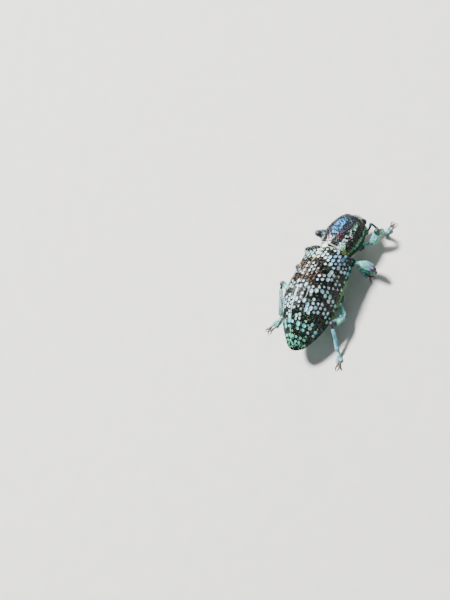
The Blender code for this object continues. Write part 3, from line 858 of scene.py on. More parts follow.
def prothorax_skin(s, a):
    """The barrel with its coarse grain."""
    s, a = paired(s, a)
    return barrel(s, a, COAT_DEPTH - 0.02 * ripple(barrel(s, a), 0.4, 41))


LIP_BACK = ((0.6, 0.02), (0.55, 0.4), (0.3, 0.72), (0.03, 0.86))
LIP_FRONT = ((0.03, 0.85), (0.14, 0.77), (0.35, 0.72), (0.9, 0.7), (1.45, 0.6), (1.75, 0.35), (1.8, 0.02))


def lip(rings, s_end, columns):
    """Closing rings, each (offset, share): the end ring shrunk to a share and moved along the axis."""
    a = turns(columns)
    s, angle = set_back(np.full(columns, float(s_end)), a), a * 2 * math.pi
    return np.stack([on_prothorax(np.stack([
        barrel_width(s) * share * np.sin(angle), offset - s * PROTHORAX_LENGTH,
        barrel_height(s) * share * np.cos(angle)], -1)) for offset, share in rings])


def build_prothorax(columns=240):
    """The barrel with a lip at each end, tinted by the markings where they cover it."""
    s = np.concatenate([np.linspace(0, 0.03, 6), np.linspace(0.036, 0.96, 100), np.linspace(0.964, 1, 8)])
    s, a = lattice(s, turns(columns))
    points = np.concatenate([lip(LIP_BACK, 0, columns), prothorax_skin(s, a), lip(LIP_FRONT, 1, columns)])
    colour, cover = prothorax_pattern(s, a)
    tint = np.zeros((*points.shape[:2], 4))
    tint[len(LIP_BACK):len(LIP_BACK) + len(s)] = covered(colour, ramp(cover, 0.3, 0.8) * 0.7)
    return shell(points, tint)


print("the barrel is", round(2 * float(barrel_width(0.42)), 2), "mm wide")

# %% [markdown]
# The prothorax carries pale stripes: a white one down the middle that turns blue towards the head, a patchy
# one along each side of the back, and a green one low on the flank, where the scales run together over the
# underside. Between them, and here and there through them, stand shining black granules, with single rose
# scales among them, blue ones towards the head, and rusty ones above the flank. The rose scales are partly
# the weevil's own pink scales and partly painted glints: pink flashes of light off the granules, painted as
# colour. One function gives the cover of each marking and another the colour, for the shell and the scales
# alike.

# %% Markings of the prothorax
def prothorax_markings(s, a):
    """How densely each marking covers the shell at (s, a): ramps in s and in the degrees from the top.

    Wander bends the stripes' edges, and broken lets the shell show through them.
    """
    degrees, points = from_top(a), barrel(s, a)
    wander = 2.5 * ripple(points, 1.6, 42) + 2.4 * ripple(points, 0.45, 47)
    broken = ramp(ripple(points, 0.3, 43), -0.45, 0.1)
    patchy = np.maximum(0.92 * fall(s, 0.1, 0.26), 0.25 + 0.75 * ramp(ripple(points, 0.8, 48), -0.5, 0.1))
    widen, spill = 1 + 0.4 * ramp(s, 0.2, 0.45), 5 * fall(s, 0.08, 0.22)
    return {
        "middle": (fall(np.abs(degrees + wander * 0.7), 9 * widen, 14 * widen) * fall(s, 0.7, 0.86)
                   * (0.1 + 0.88 * np.maximum(broken, 0.55 * fall(s, 0.04, 0.16)))),
        "lateral": (fall(np.abs(degrees - 49 + wander) - spill, 6.5, 12) * fall(s, 0.82, 0.93) * patchy
                    * (0.3 + 0.7 * np.maximum(broken, 0.8 * fall(s, 0.14, 0.26)))),
        "flank": fall(np.abs(degrees - 92 + wander), 3, 7) * 0.9,
        "below": ramp(degrees + wander, 112, 124) * 0.85,
        "corner": fall(s, 0.05, 0.13) * ramp(degrees, 62, 70) * fall(degrees, 90, 98),
        "rim": fall(s, 0.014, 0.032) * 0.85,
        # rose scales between the stripes: partly real pink scales, partly painted glints off the granules
        "rosy_scales_and_glints": (ramp(degrees, 13, 20) * fall(degrees, 34, 40) * fall(s, 0.4, 0.62) * 0.3
                 * ramp(ripple(points, 0.6, 49), -0.5, 0.4)),
        "azure": ramp(s, 0.25, 0.4) * fall(s, 0.82, 0.92) * fall(degrees, 34, 44) * 0.2,
        "dusty": ramp(degrees, 58, 66) * fall(degrees, 82, 88) * 0.24}


def prothorax_pattern(s, a):
    """Scale colour and cover at (s, a): a marking gives the colour where it is denser than its rivals."""
    points, mark = barrel(s, a), prothorax_markings(s, a)
    colour = blend(blend(FROST, ICE, ramp(s, 0.08, 0.4)), AZURE,
                   ramp(ripple(points, 0.28, 44), -0.5, 0.3) * ramp(s, 0.15, 0.4) * 0.9)
    minty = np.clip(ramp(ripple(points, 0.9, 45), -0.2, 0.8) * 0.7 + ramp(s, 0.4, 0.8) * 0.4, 0, 1)
    for over, places, rivals in (
            (blend(FROST, MINT, minty), ["lateral"], ["middle"]),
            (blend(MINT, LEAF, ramp(ripple(points, 0.8, 46), -0.3, 0.6)), ["flank", "below"],
             ["lateral", "middle"]),
            # rose and teal scales, the rose partly a painted glint of light off the granules
            (blend(ROSE_AND_GLINT, TEAL, ramp(ripple(points, 0.3, 50), 0.2, 0.4)), ["rosy_scales_and_glints"], ["middle", "lateral"]),
            (blend(AZURE, TEAL, ramp(ripple(points, 0.3, 56), 0.0, 0.3)), ["azure"],
             ["middle", "lateral", "rosy_scales_and_glints"]),
            (blend(RUST * 0.8, MINT, ramp(ripple(points, 0.35, 55), 0.1, 0.3)), ["dusty"],
             ["lateral", "flank", "below"])):
        dense, rival = (np.maximum.reduce([mark[name] for name in names]) for names in (places, rivals))
        colour = np.where((dense > rival)[..., None], over, colour)
    colour = blend(blend(colour, LIME, mark["corner"]), CREAM, mark["rim"] * 0.8)
    mark["lateral"], mark["corner"] = mark["lateral"] * 0.97, mark["corner"] * 0.9
    return colour, np.clip(np.maximum.reduce(list(mark.values())), 0, 1)


make_piece("prothorax_shell", build_prothorax(), black_shell, "black_shell", ["prothorax"])

# %% Granules and scales of the prothorax
def prothorax_granules():
    """Domes that stand thickest where the markings are thin, and hardly at all on the underside."""
    rng = np.random.default_rng(51)
    s, a = spread(prothorax_skin, 2300, (0.03, 0.95))
    _, cover = prothorax_pattern(s, a)
    keep = rng.uniform(0, 1, len(s)) > np.where(from_top(a) > 118, cover, cover * 0.5)
    s, a, cover = s[keep], a[keep], cover[keep]
    radius = rng.uniform(0.085, 0.135, len(s)) * (1 - 0.3 * cover)
    return granules(prothorax_skin, s, a, radius, radius * 0.72)


def prothorax_coat():
    """Scales that point backwards, so the surface is read with its first number turned round."""
    rng = np.random.default_rng(52)
    s, a = spread(prothorax_skin, 15000, (0.008, 0.985))
    colour, cover = prothorax_pattern(s, a)
    keep = rng.uniform(0, 1, len(s)) < cover
    s, a, colour = s[keep], a[keep], colour[keep]
    return scales(lambda u, v: prothorax_skin(1 - u, v), 1 - s, a, on_map(a, s), colour, 0.14, 53, loose=0.4)


make_piece("prothorax_granules", prothorax_granules(), polished_granules, "black_shell")
make_piece("prothorax_scales", prothorax_coat(), bright_scales, "green_scales")

# %% [markdown]
# ## Underside
#
# Under the wing cases the hind body is one smooth form to look at, so the thorax and the abdomen share one
# function: inside the arch above the margin, and bulging to the belly below it. The grooves between the
# belly plates are pressed into it, and a dimple where each leg sits. So the table of the legs comes first.
#
# For each leg it gives the middle of the hip's ball, called the coxa, then the knee and the ankle, and on
# the floor where the claws end. Bow is how far the middle of the thigh stands out of its straight line.
# Heel, knob and bare are for single legs: where the foot's line starts, the size of the knee, and where its
# coat ends.

# %% The legs' places
belly = through([(0, 1.8), (0.3, 1.65), (0.7, 1.8), (1, 2.7)])
BODY_INSET = 0.8
PLATE_EDGES = (5.9, 7.7, 9.7, 10.7, 11.7)
LEGS = {
    "fore_right": {"coxa": (-1.55, -2.72, 1.5), "knee": (-4.85, -4.35, 3.65), "ankle": (-3.6, -5.4, 0.85),
                   "claw": (-4.2, -7.6), "bow": (-0.15, 0.05, -0.7)},
    "fore_left": {"coxa": (0.62, -3.09, 1.5), "knee": (4.0, -2.68, 3.8), "ankle": (3.8, -4.85, 0.85),
                  "claw": (4.3, -7.15), "bow": (0.0, 0.0, -0.75), "knob": 1.2, "bare": 0.03},
    "mid_right": {"coxa": (-1.6, -0.15, 1.85), "knee": (-6.3, 0.8, 2.9), "ankle": (-2.45, 0.1, 0.9),
                  "heel": (-2.25, 0.0), "claw": (-4.85, 1.05), "bow": (0.0, -0.2, 0.15)},
    "mid_left": {"coxa": (1.6, 0.35, 1.7), "knee": (5.0, 2.45, 3.5), "ankle": (6.0, 4.3, 0.85),
                 "claw": (6.75, 6.8), "bow": (0.1, -0.1, -0.3)},
    "hind_right": {"coxa": (-2.2, 5.1, 1.65), "knee": (-3.95, 9.5, 3.25), "ankle": (-4.6, 11.85, 0.85),
                   "claw": (-5.5, 14.35), "bow": (-0.6, -0.1, -0.75)},
    "hind_left": {"coxa": (2.2, 5.1, 1.65), "knee": (6.5, 5.05, 3.2), "ankle": (6.45, 8.5, 0.85),
                  "claw": (8.0, 11.1), "bow": (0.0, 0.1, -0.25)},
}
print("knees stand at", {name: leg["knee"][2] for name, leg in LEGS.items()}, "mm")

# %% The hind body
AXIS_HEIGHT = 3.4
BODY_COLUMNS = 150


def under(y, a):
    """Point of the hind body at y, a in turns round it with 0 on top: arch above the margin, belly below."""
    y, a = paired(y, a)
    t, angle = np.clip(y / ELYTRA_LENGTH, 0, 1), a * 2 * math.pi
    sine, cosine = np.sin(angle), np.cos(angle)
    x_top, z_top = arch(t, np.abs(np.arctan2(sine, np.maximum(cosine, 1e-9))) / (math.pi / 2), BODY_INSET)
    side, low = arch(t, np.ones_like(t), BODY_INSET)
    above = cosine >= 0
    x = np.where(above, x_top * np.sign(sine), side * sine)
    drop = (low - belly(t)) * np.abs(np.minimum(cosine, 0)) ** 0.8
    points = np.stack([x, y, np.where(above, z_top, low - drop)], -1)
    inward = np.stack([-x, np.zeros_like(y), AXIS_HEIGHT - points[..., 2]], -1)
    groove = sum(0.09 * np.exp(-((y - edge - 0.12 * np.cos(angle)) / 0.07) ** 2) for edge in PLATE_EDGES)
    groove = groove * ramp(-cosine, -0.25, 0.1)
    for leg in LEGS.values():
        groove = groove + 0.35 * fall(np.linalg.norm(points - leg["coxa"], axis=-1), 0.55, 0.85)
    return points + unit(inward) * (groove + COAT_DEPTH)[..., None]


def hind_tint(points):
    """Mint with teal patches, and bare black at the neck, ahead of the second legs."""
    pale = blend(blend(MINT, FROST, 0.3), TEAL, ramp(ripple(points, 1.3, 61), -0.3, 0.6) * 0.7)
    return covered(pale, ramp(points[..., 1], 0.6, 1.3) * 0.6)


def collar(radius, back):
    """Ring of the neck between thorax and prothorax, square to the prothorax's axis."""
    angle = turns(BODY_COLUMNS) * 2 * math.pi
    return on_prothorax(np.stack([
        radius * np.sin(angle), np.full(BODY_COLUMNS, back), radius * np.cos(angle)], -1))


def shrunk(end, shares, steps=(0, 0, 0, 0, 0)):
    """Rings that close an end: it is drawn in to each share of its size, and moved by a step in Y."""
    middle = end.mean(0)
    return np.stack([middle + (end - middle) * share + [0, step, 0] for share, step in zip(shares, steps)])


print("rings round the hind body have", BODY_COLUMNS, "points; its belly grooves are at", PLATE_EDGES, "mm")

# %% Build the thorax and the abdomen
def build_thorax():
    """From a disc inside the neck, over the collar and three blended rings, to an end inside the abdomen."""
    rows = under(*lattice(np.linspace(0.7, 5.86, 74), turns(BODY_COLUMNS)))
    neck = np.stack([collar(0.05, -0.3), collar(1.0, -0.3), collar(1.4, -0.1), collar(1.5, 0.15)])
    blended = np.stack([neck[-1] * (1 - share) + rows[0] * share for share in (0.3, 0.6, 0.85)])
    points = np.concatenate([neck, blended, rows, shrunk(rows[-1], (0.9, 0.02))])
    return shell(points, hind_tint(points))


def build_abdomen():
    """The rest of the hind body, closed by a round tail."""
    rows = under(*lattice(np.linspace(5.94, 13.0, 100), turns(BODY_COLUMNS)))
    tail = shrunk(rows[-1], (0.97, 0.86, 0.66, 0.4, 0.02), (0.12, 0.28, 0.4, 0.48, 0.5))
    points = np.concatenate([shrunk(rows[0], (0.02, 0.9)), rows, tail])
    return shell(points, hind_tint(points))


make_piece("thorax_shell", build_thorax(), leg_shell, "green_scales", ["thorax"])
make_piece("abdomen_shell", build_abdomen(), leg_shell, "green_scales", ["abdomen"])

# %% Scales of the underside
def hind_coat(low, high, count, seed):
    """Scales on the lower six tenths of the hind body from low to high in Y, but not where a leg sits."""
    rng = np.random.default_rng(seed)
    y, a = spread(under, count, (low, high), (0.2, 0.8))
    points = under(y, a)
    to_leg = np.minimum.reduce([np.linalg.norm(points - leg["coxa"], axis=-1) for leg in LEGS.values()])
    keep = (rng.uniform(0, 1, count) < 0.15 + 0.72 * ramp(y, 0.8, 1.8)) & (to_leg > 0.8)
    y, a, points = y[keep], a[keep], points[keep]
    colour = hind_tint(points)[:, :3]
    return scales(under, y, a, on_map(a, (y - low) / (high - low)), colour, 0.16, seed, loose=0.35)


make_piece("thorax_scales", hind_coat(0.8, 5.8, 7000, 62), bright_scales, "green_scales")
make_piece("abdomen_scales", hind_coat(6.0, 13.0, 8000, 63), bright_scales, "green_scales")

# %% [markdown]
# ## Limbs
#
# Legs, feelers, claws and foot pads are all tubes of changing thickness along a bent path. The path runs
# through a few points; at each place on it, a circle is set square to the path, and it can be flattened.

# %% Tubes along a path
def path_through(points):
    """Smooth path from 0 to 1 through points, each axis a monotone cubic of the distance walked."""
    points = np.array(points, float)
    walked = np.concatenate([[0], np.cumsum(np.linalg.norm(np.diff(points, axis=0), axis=1))])
    axes = [through(list(zip(walked / walked[-1], points[:, k]))) for k in range(3)]
    return lambda u: np.stack([axis(u) for axis in axes], -1)


def tube(path, radius, up=(0, 0, 1), flat=1.0, ends=(0.06, 0.06)):
    """Surface of (u, v): the path's point plus the radius times (sine across, flat times cosine upwards).

    Over the last part of each end the radius falls as a circle does, so that the tube closes round.
    """
    def skin(u, v):
        u, v = paired(u, v)
        ahead = unit(path(u + 1e-3) - path(u - 1e-3))
        side = unit(np.cross(ahead, up))
        top = np.cross(side, ahead)
        start, stop = np.clip(1 - u / ends[0], 0, 1), np.clip(1 - (1 - u) / ends[1], 0, 1)
        size = radius(u) * np.sqrt(np.clip(1 - start ** 2, 1e-3, 1) * np.clip(1 - stop ** 2, 1e-3, 1))
        angle = v * 2 * math.pi
        outward = side * np.sin(angle)[..., None] + flat * top * np.cos(angle)[..., None]
        return path(u) + size[..., None] * outward
    return skin


def rows_of(skin, rows, columns, tint=None):
    """Closed shell of a tube surface; the rows crowd towards the rounded ends."""
    u = 0.5 - 0.5 * np.cos(np.linspace(0, math.pi, rows))
    u, v = lattice(u, turns(columns))
    return shell(skin(u, v), None if tint is None else tint(u, v))


def ball_skin(centre, radii, frame_turn=np.eye(3)):
    """Ellipsoid as a surface of (u, v), u from its lower pole to its upper one."""
    def skin(u, v):
        u, v = paired(u, v)
        polar, angle = np.clip(u, 2e-3, 1 - 2e-3) * math.pi, v * 2 * math.pi
        local = np.stack([np.sin(polar) * np.cos(angle), np.sin(polar) * np.sin(angle), -np.cos(polar)], -1)
        return (local * radii) @ np.asarray(frame_turn).T + centre
    return skin


print("half way along a bent path:", np.round(path_through([(0, 0, 0), (1, 0, 0), (1, 1, 0)])(0.5), 2))

# %% [markdown]
# ## Scutellum
#
# The small shield between the wing cases' shoulders, coated with cream scales.

# %% The scutellum
scutellum = ball_skin(np.array([0.0, 0.12, 6.2]), [0.39, 0.47, 0.27])
cream_tint = np.array([*CREAM, 0.8])
scutellum_shell = rows_of(scutellum, 40, 48, lambda u, v: cream_tint)
make_piece("scutellum_shell", scutellum_shell, black_shell, "green_scales", ["scutellum"])
u, v = spread(scutellum, 420, (0.35, 0.99))
scutellum_coat = scales(scutellum, u, v, on_map(v, u), blend(CREAM, FROST, 0.3), 0.14, 71)
make_piece("scutellum_scales", scutellum_coat, bright_scales, "green_scales")

# %% [markdown]
# ## Head and snout
#
# A weevil's head runs straight on into its snout, so both are one surface. It is a row of sections that fan
# round the throat: each section reaches from a point on the front line, over the crown, down the forehead
# and the snout, to a point on the throat line. Sections are round on the head and squarer on the snout.
# Keels, furrows and the groove that takes the feeler are pressed into it afterwards.

# %% The head's own axes
HEAD_CENTRE = on_prothorax(np.array([0.0, -PROTHORAX_LENGTH + 0.3, -0.1]))
HEAD_TURN = turn("Z", -10)
SNOUT_TURN = HEAD_TURN @ turn("X", 8)
SNOUT_ROOT = HEAD_CENTRE + HEAD_TURN @ np.array([0.0, -0.4, 0.1])
HEAD_LINES = [  # walk, front y and z, throat y and z, half width, squareness
    (0.00, 0.92, 0.06, 0.92, -0.06, 0.06, 1.0), (0.05, 0.88, 0.52, 0.90, -0.50, 0.58, 1.0),
    (0.12, 0.72, 0.82, 0.78, -0.78, 0.84, 1.0), (0.22, 0.35, 1.03, 0.60, -0.93, 1.02, 1.0),
    (0.33, -0.12, 1.08, 0.47, -1.00, 1.08, 1.0), (0.43, -0.62, 0.90, 0.40, -1.04, 1.02, 0.98),
    (0.52, -1.00, 0.48, 0.37, -1.08, 0.92, 0.94), (0.60, -1.18, -0.03, 0.36, -1.14, 0.80, 0.88),
    (0.70, -0.93, -0.82, 0.37, -1.30, 0.66, 0.78), (0.80, -0.78, -1.45, 0.41, -1.66, 0.61, 0.72),
    (0.90, -0.68, -2.03, 0.43, -2.14, 0.67, 0.72), (0.97, -0.54, -2.50, 0.39, -2.50, 0.71, 0.78),
    (1.00, -0.36, -2.62, 0.22, -2.60, 0.52, 0.9)]
head_line = [through([(row[0], row[k]) for row in HEAD_LINES]) for k in range(1, 7)]
print("head centre at", np.round(HEAD_CENTRE, 2), "mm, snout root at", np.round(SNOUT_ROOT, 2), "mm")

# %% The head's surface
KEEL_ASIDE = 0.42
FURROW_ASIDE = 0.22


def in_head(local):
    """Millimetre points from the head's own axes."""
    return local @ HEAD_TURN.T + HEAD_CENTRE


def head_smooth(h, a):
    """Point of the smooth head in its own axes: section h, and a round it in turns, 0 on the front line."""
    front_y, front_z, back_y, back_z, wide, power = (line(np.clip(h, 0, 1)) for line in head_line)
    angle = a * 2 * math.pi
    sine, cosine = np.sin(angle), np.cos(angle)
    x = wide * np.sign(sine) * np.abs(sine) ** power
    k = 0.5 + 0.5 * np.sign(cosine) * np.abs(cosine) ** power
    return np.stack([x, back_y + (front_y - back_y) * k, back_z + (front_z - back_z) * k], -1)


def head_relief(h, a, x):
    """Height over the smooth head: a middle keel, two side keels, furrows, and the feeler's groove."""
    degrees, aside = from_top(a), np.abs(x)
    snout = ramp(h, 0.5, 0.64) * fall(h, 0.93, 0.99)
    face = fall(degrees, 60, 80)
    keels = 0.07 * bell(x, 0, 0.07) + 0.06 * bell(aside, KEEL_ASIDE, 0.07)
    furrow = 0.05 * bell(aside, FURROW_ASIDE, 0.1)
    groove = 0.12 * bell(degrees, 96, 13) * ramp(h, 0.58, 0.66) * fall(h, 0.88, 0.94)
    brow = 0.05 * bell(h, 0.47, 0.03) * face
    return snout * face * (keels - furrow) - groove + brow


def head_skin(h, a):
    """The head in place, with its relief and grain."""
    h, a = paired(h, a)
    smooth = head_smooth(h, a)
    out = unit(np.cross(head_smooth(h, a + 1e-3) - head_smooth(h, a - 1e-3),
                        head_smooth(h + 1e-3, a) - head_smooth(h - 1e-3, a)))
    out = out * np.where((out * (smooth - head_smooth(h, a + 0.5))).sum(-1, keepdims=True) < 0, -1, 1)
    height = head_relief(h, a, smooth[..., 0]) + 0.012 * ripple(smooth, 0.25, 81) - 0.02
    return in_head(smooth + out * height[..., None])


print("the snout ends", round(float(head_skin(1.0, 0.0)[2]), 2), "mm above the floor")

# %% Colours of the head
def head_pattern(h, a):
    """Scale colour and cover of the head: bare neck, keels and snout tip, green and blue between them."""
    local, degrees = head_smooth(h, a), from_top(a)
    keels = bell(local[..., 0], 0, 0.07) + bell(np.abs(local[..., 0]), KEEL_ASIDE, 0.06) * ramp(h, 0.5, 0.6)
    keels = keels * fall(degrees, 60, 85)
    colour = blend(MINT, TEAL, ramp(ripple(local, 0.9, 82), -0.4, 0.5))
    colour = blend(colour, ICE, ramp(ripple(local, 0.7, 83), 0.0, 0.7) * 0.7)
    colour = blend(colour, FROST, (ramp(h, 0.4, 0.5) * fall(h, 0.6, 0.72)) * 0.5)
    behind_eyes = ramp(degrees, 50, 80) * ramp(h, 0.36, 0.48) * 0.8
    crown = ramp(h, 0.2, 0.27) * (ramp(h, 0.5, 0.6) + behind_eyes + 0.06)
    cover = np.clip(crown, 0, 1) * fall(h, 0.9, 0.95) * (1 - np.clip(keels, 0, 1) * 0.95)
    return colour, cover * (0.72 + 0.2 * ramp(ripple(local, 0.5, 84), -0.5, 0.3))


def head_tint(h, a):
    """Tint of the head's shell: the scales' colour, a little less covered than they cover."""
    colour, cover = head_pattern(h, a)
    return covered(colour, cover * 0.8)


def jaw(side):
    """A short blunt jaw at the end of the snout."""
    points = [(side * 0.3, -0.1, -2.5), (side * 0.28, -0.14, -2.72), (side * 0.08, -0.12, -2.84)]
    path = path_through(np.array(points) @ SNOUT_TURN.T + SNOUT_ROOT)
    return rows_of(tube(path, through([(0, 0.16), (0.5, 0.14), (1, 0.05)]), (0.2, 1, 0)), 14, 14)


print("scales cover", round(float(head_pattern(0.5, 0.0)[1]), 2), "of the forehead")

# %% Build the head, its scales and jaws
make_piece("head_shell", rows_of(head_skin, 150, 132, head_tint), leg_shell, "green_scales", ["head"])
make_piece("jaws", joined([jaw(-1), jaw(1)]), claw_horn, "black_shell")
h, a = spread(head_skin, 5200, (0.2, 0.97))
colour, cover = head_pattern(h, a)
keep = np.random.default_rng(85).uniform(0, 1, len(h)) < cover
h, a, colour = h[keep], a[keep], colour[keep]
head_coat = scales(head_skin, h, a, on_map(a % 1, h), colour, 0.115, 86, loose=0.5)
make_piece("head_scales", head_coat, bright_scales, "green_scales")

# %% [markdown]
# ## Eyes
#
# Insect eyes are domes of small lenses. Each lens is a low dome of its own here, so that the eye glitters
# in points and not in one highlight.

# %% Eyes
def build_eye(side):
    """The eyeball with 900 lenses on it."""
    skin = ball_skin(in_head(np.array([side * 0.91, -0.62, -0.18])), [0.46, 0.45, 0.47], HEAD_TURN)
    u, v = spread(skin, 900, (0.02, 0.98))
    lens = np.full(len(u), 0.031)
    return joined([rows_of(skin, 36, 48), granules(skin, u, v, lens, lens * 0.3)])


for side, name in ((-1, "right"), (1, "left")):
    make_piece("eye_dome_" + name, build_eye(side), eye_glass, "dark_eye", ["eye_" + name])

# %% [markdown]
# ## Feelers
#
# A weevil's feeler has an elbow: one long first segment from the snout to the eye, then seven beads and a
# spindle-shaped club of three rings. The beads are one tube whose radius swells seven times. Fine pale
# bristles lie along all of it.

# %% Surfaces of a feeler
def in_snout(local):
    """Millimetre points from the snout's own axes."""
    return np.asarray(local, float) @ SNOUT_TURN.T + SNOUT_ROOT


def beads(count, thick, waist):
    """Radius that swells count times: waist plus the rest times |sin(pi count u)| to the power 0.6."""
    return lambda u: waist + (thick - waist) * np.abs(np.sin(math.pi * count * np.clip(u, 0, 1))) ** 0.6


def club_radius(u):
    """A spindle, pinched by two bells where the club's rings meet."""
    spindle = np.interp(u, [0, 0.1, 0.42, 0.75, 1], [0.09, 0.2, 0.29, 0.22, 0.05])
    return spindle * (1 - 0.16 * bell(u, 0.36, 0.02) - 0.16 * bell(u, 0.62, 0.02))


def feeler_skins(side):
    """Surfaces of the scape, the beads and the club."""
    root, middle, elbow, club, tip = (in_snout((side * x, y, z)) for x, y, z in (
        (0.6, -0.05, -2.15), (1.15, -0.3, -1.7), (1.6, -0.75, -0.85), (1.95, -0.95, -2.1),
        (2.0, -0.75, -3.05)))
    scape_radius = through([(0, 0.12), (0.1, 0.1), (0.7, 0.15), (0.95, 0.21), (1, 0.18)])
    sag = (elbow + club) / 2 + [0, 0, 0.06]
    return (tube(path_through([root, middle, elbow]), scape_radius),
            tube(path_through([elbow, sag, club]), beads(7, 0.15, 0.075), ends=(0.02, 0.02)),
            tube(path_through([club, (club + tip) / 2, tip]), club_radius, ends=(0.05, 0.12)))


print("the club is", round(2 * float(club_radius(0.42)), 2), "mm thick")

# %% Build the feelers
FEELER_PARTS = {  # rows of the mesh, number of hairs, cover of the sheen
    "scape": (40, 260, 0.6), "funicle": (90, 300, 0.35), "club": (50, 700, 0.0)}

for side, name in ((-1, "right"), (1, "left")):
    for (kind, (rows, hair_count, cover)), skin in zip(FEELER_PARTS.items(), feeler_skins(side)):
        node = f"antenna_{kind}_{name}"
        sheen = np.array([*(TEAL * 0.8), cover])
        hairs = stamp(BRISTLE_POINTS, BRISTLE_FACES, stand(skin, *spread(skin, hair_count, (0.05, 0.97))),
                      [0.018, 0.02, 0.012], (0.1, 0.12, 0.11, 0.6))
        segment = rows_of(skin, rows, 24, lambda u, v: sheen)
        make_piece(node + "_segment", joined([segment, hairs]), leg_shell, "black_shell", [node])

# %% [markdown]
# ## Legs
#
# Each leg has a ball-like coxa sunk in the body, a thigh that swells towards the knee, a straight shin and
# a foot. The solids leave small gaps between them. Here the thigh starts inside the coxa and ends in the
# knee's dark knob, which is coated only on the thigh's side. The shin starts inside the knob on a thin
# neck, as in the real joint, and the foot starts inside the shin.

# %% Thigh, knee and shin
COXA_RADIUS = 0.6
THIGH_START = -0.12  # how far before its first point the thigh begins, inside the coxa
thigh_radius = through([(THIGH_START, 0.2), (-0.05, 0.27), (0.02, 0.2), (0.24, 0.29), (0.62, 0.52),
                        (0.84, 0.46), (1, 0.29)])
shin_radius = through([(0, 0.15), (0.1, 0.17), (0.24, 0.22), (0.6, 0.235), (0.9, 0.285), (1, 0.31)])


def leg_points(leg):
    """Coxa, knee and ankle points of a leg, its bow, and the way out of the plane that it folds in."""
    coxa, knee, ankle, bow = (np.array(leg[key], float) for key in ("coxa", "knee", "ankle", "bow"))
    return coxa, knee, ankle, bow, unit(np.cross(knee - coxa, ankle - knee))


def thigh_skin(leg):
    """The thigh: a straight line from coxa to knee, bowed by 4 w (1 - w) times the leg's bow."""
    coxa, knee, _, bow, normal = leg_points(leg)
    first = coxa + unit(knee - coxa) * (COXA_RADIUS + 0.2)

    def reach(u):
        return THIGH_START + (1 - THIGH_START) * u

    def path(u):
        w = np.asarray(reach(u))[..., None]
        return first + (knee - first) * w + bow * 4 * np.clip(w, 0, 1) * (1 - w)
    return tube(path, lambda u: thigh_radius(reach(np.clip(u, 0, 1))), normal, 1.06, (0.04, 0.05))


def shin_skin(leg):
    """The shin leaves the knee sideways from the thigh and turns into its own line over a quadratic arc."""
    coxa, knee, ankle, _, normal = leg_points(leg)
    thigh, shin = unit(knee - coxa), unit(ankle - knee)
    fold = max(-float(shin @ thigh), 0.0)
    away = unit(shin + fold * thigh)
    first, corner = knee + away * 0.1, knee + away * (0.56 + fold * 0.2) + thigh * 0.05
    last = knee + away * (0.5 + fold * 0.25) + shin * 0.75
    arc = [first * (1 - k) ** 2 + corner * 2 * k * (1 - k) + last * k * k
           for k in (0.0, 0.25, 0.5, 0.75, 1.0)]
    path = path_through([*arc, (last + ankle) / 2 + away * 0.03, ankle])
    return tube(path, shin_radius, normal, 0.92, (0.05, 0.04))


def knee_skin(leg):
    """The knob: an ellipsoid in line with the thigh, a little before the knee."""
    coxa, knee, _, _, normal = leg_points(leg)
    ahead = unit(knee - coxa)
    radii = np.array([0.42, 0.385, 0.46]) * leg.get("knob", 1.0)
    return ball_skin(knee - ahead * 0.14, radii, np.stack([np.cross(normal, ahead), normal, ahead], -1))


def coxa_skin(leg):
    """The coxa: a ball drawn out a little towards the thigh."""
    coxa, knee, *_ = leg_points(leg)
    ahead = unit(knee - coxa)
    side = unit(np.cross([0, 0, 1], ahead))
    return ball_skin(coxa, [COXA_RADIUS, 0.57, 0.57], np.stack([ahead, side, np.cross(ahead, side)], -1))


for name, leg in LEGS.items():
    coxa, knee, ankle, *_ = leg_points(leg)
    print(f"{name}: thigh {np.linalg.norm(knee - coxa):.1f} mm, shin {np.linalg.norm(ankle - knee):.1f} mm")

# %% [markdown]
# The coat of a leg isn't one green. It drifts over millimetres, and thin paler and bluer streaks run along
# the limb. So the noise for the streaks is read in a space that is squeezed along the limb, which draws it
# out.

# %% Colours and scales of the legs
def leg_colours(skin, u, v, seed, dark=0.0):
    """Sea green that drifts to mint and sky blue over millimetres, with frost and blue streaks along it.

    Dark, from 0 to 1, takes it towards a violet blue. Streaks are read at p - 0.75 (p . a) a, with a the
    limb's line.
    """
    points = skin(u, v)
    along = unit(skin(0.9, 0.0) - skin(0.1, 0.0))
    drawn = points - 0.75 * (points @ along)[..., None] * along
    colour = blend(SEA, MINT, ramp(ripple(points, 2.4, seed), -0.6, 0.6))
    colour = blend(colour, ICE, ramp(ripple(points, 2.0, seed + 1), 0.0, 0.9) * 0.65)
    colour = blend(colour, FROST, ramp(ripple(drawn, 0.4, seed + 2), 0.0, 0.7) * 0.7)
    colour = blend(colour, blend(AZURE, TEAL, 0.4) * 0.5, ramp(ripple(drawn, 0.3, seed + 3), 0.15, 0.6) * 0.8)
    return blend(colour, blend(AZURE, LILAC, 0.6) * 0.7, dark)


def limb_tint(skin, low, high, seed, dark=0.0):
    """Shell colour of a limb whose scales reach from low to high along it, darker by dark at its far end."""
    def tint(u, v):
        cover = ramp(u, low, low + 0.03) * fall(u, high - 0.03, high) * 0.5
        return covered(leg_colours(skin, u, v, seed, dark * ramp(u, 0.5, 0.9)), cover)
    return tint


def knee_tint(skin, seed, tip, first):
    """Leg colours on the thigh's side of the knee, giving way to the tip's colour from first onwards."""
    def tint(u, v):
        tip_share = ramp(u, first, first + 0.2)
        colour = blend(leg_colours(skin, u, v, seed), tip, tip_share)
        return covered(colour, 0.5 - 0.1 * tip_share)
    return tint


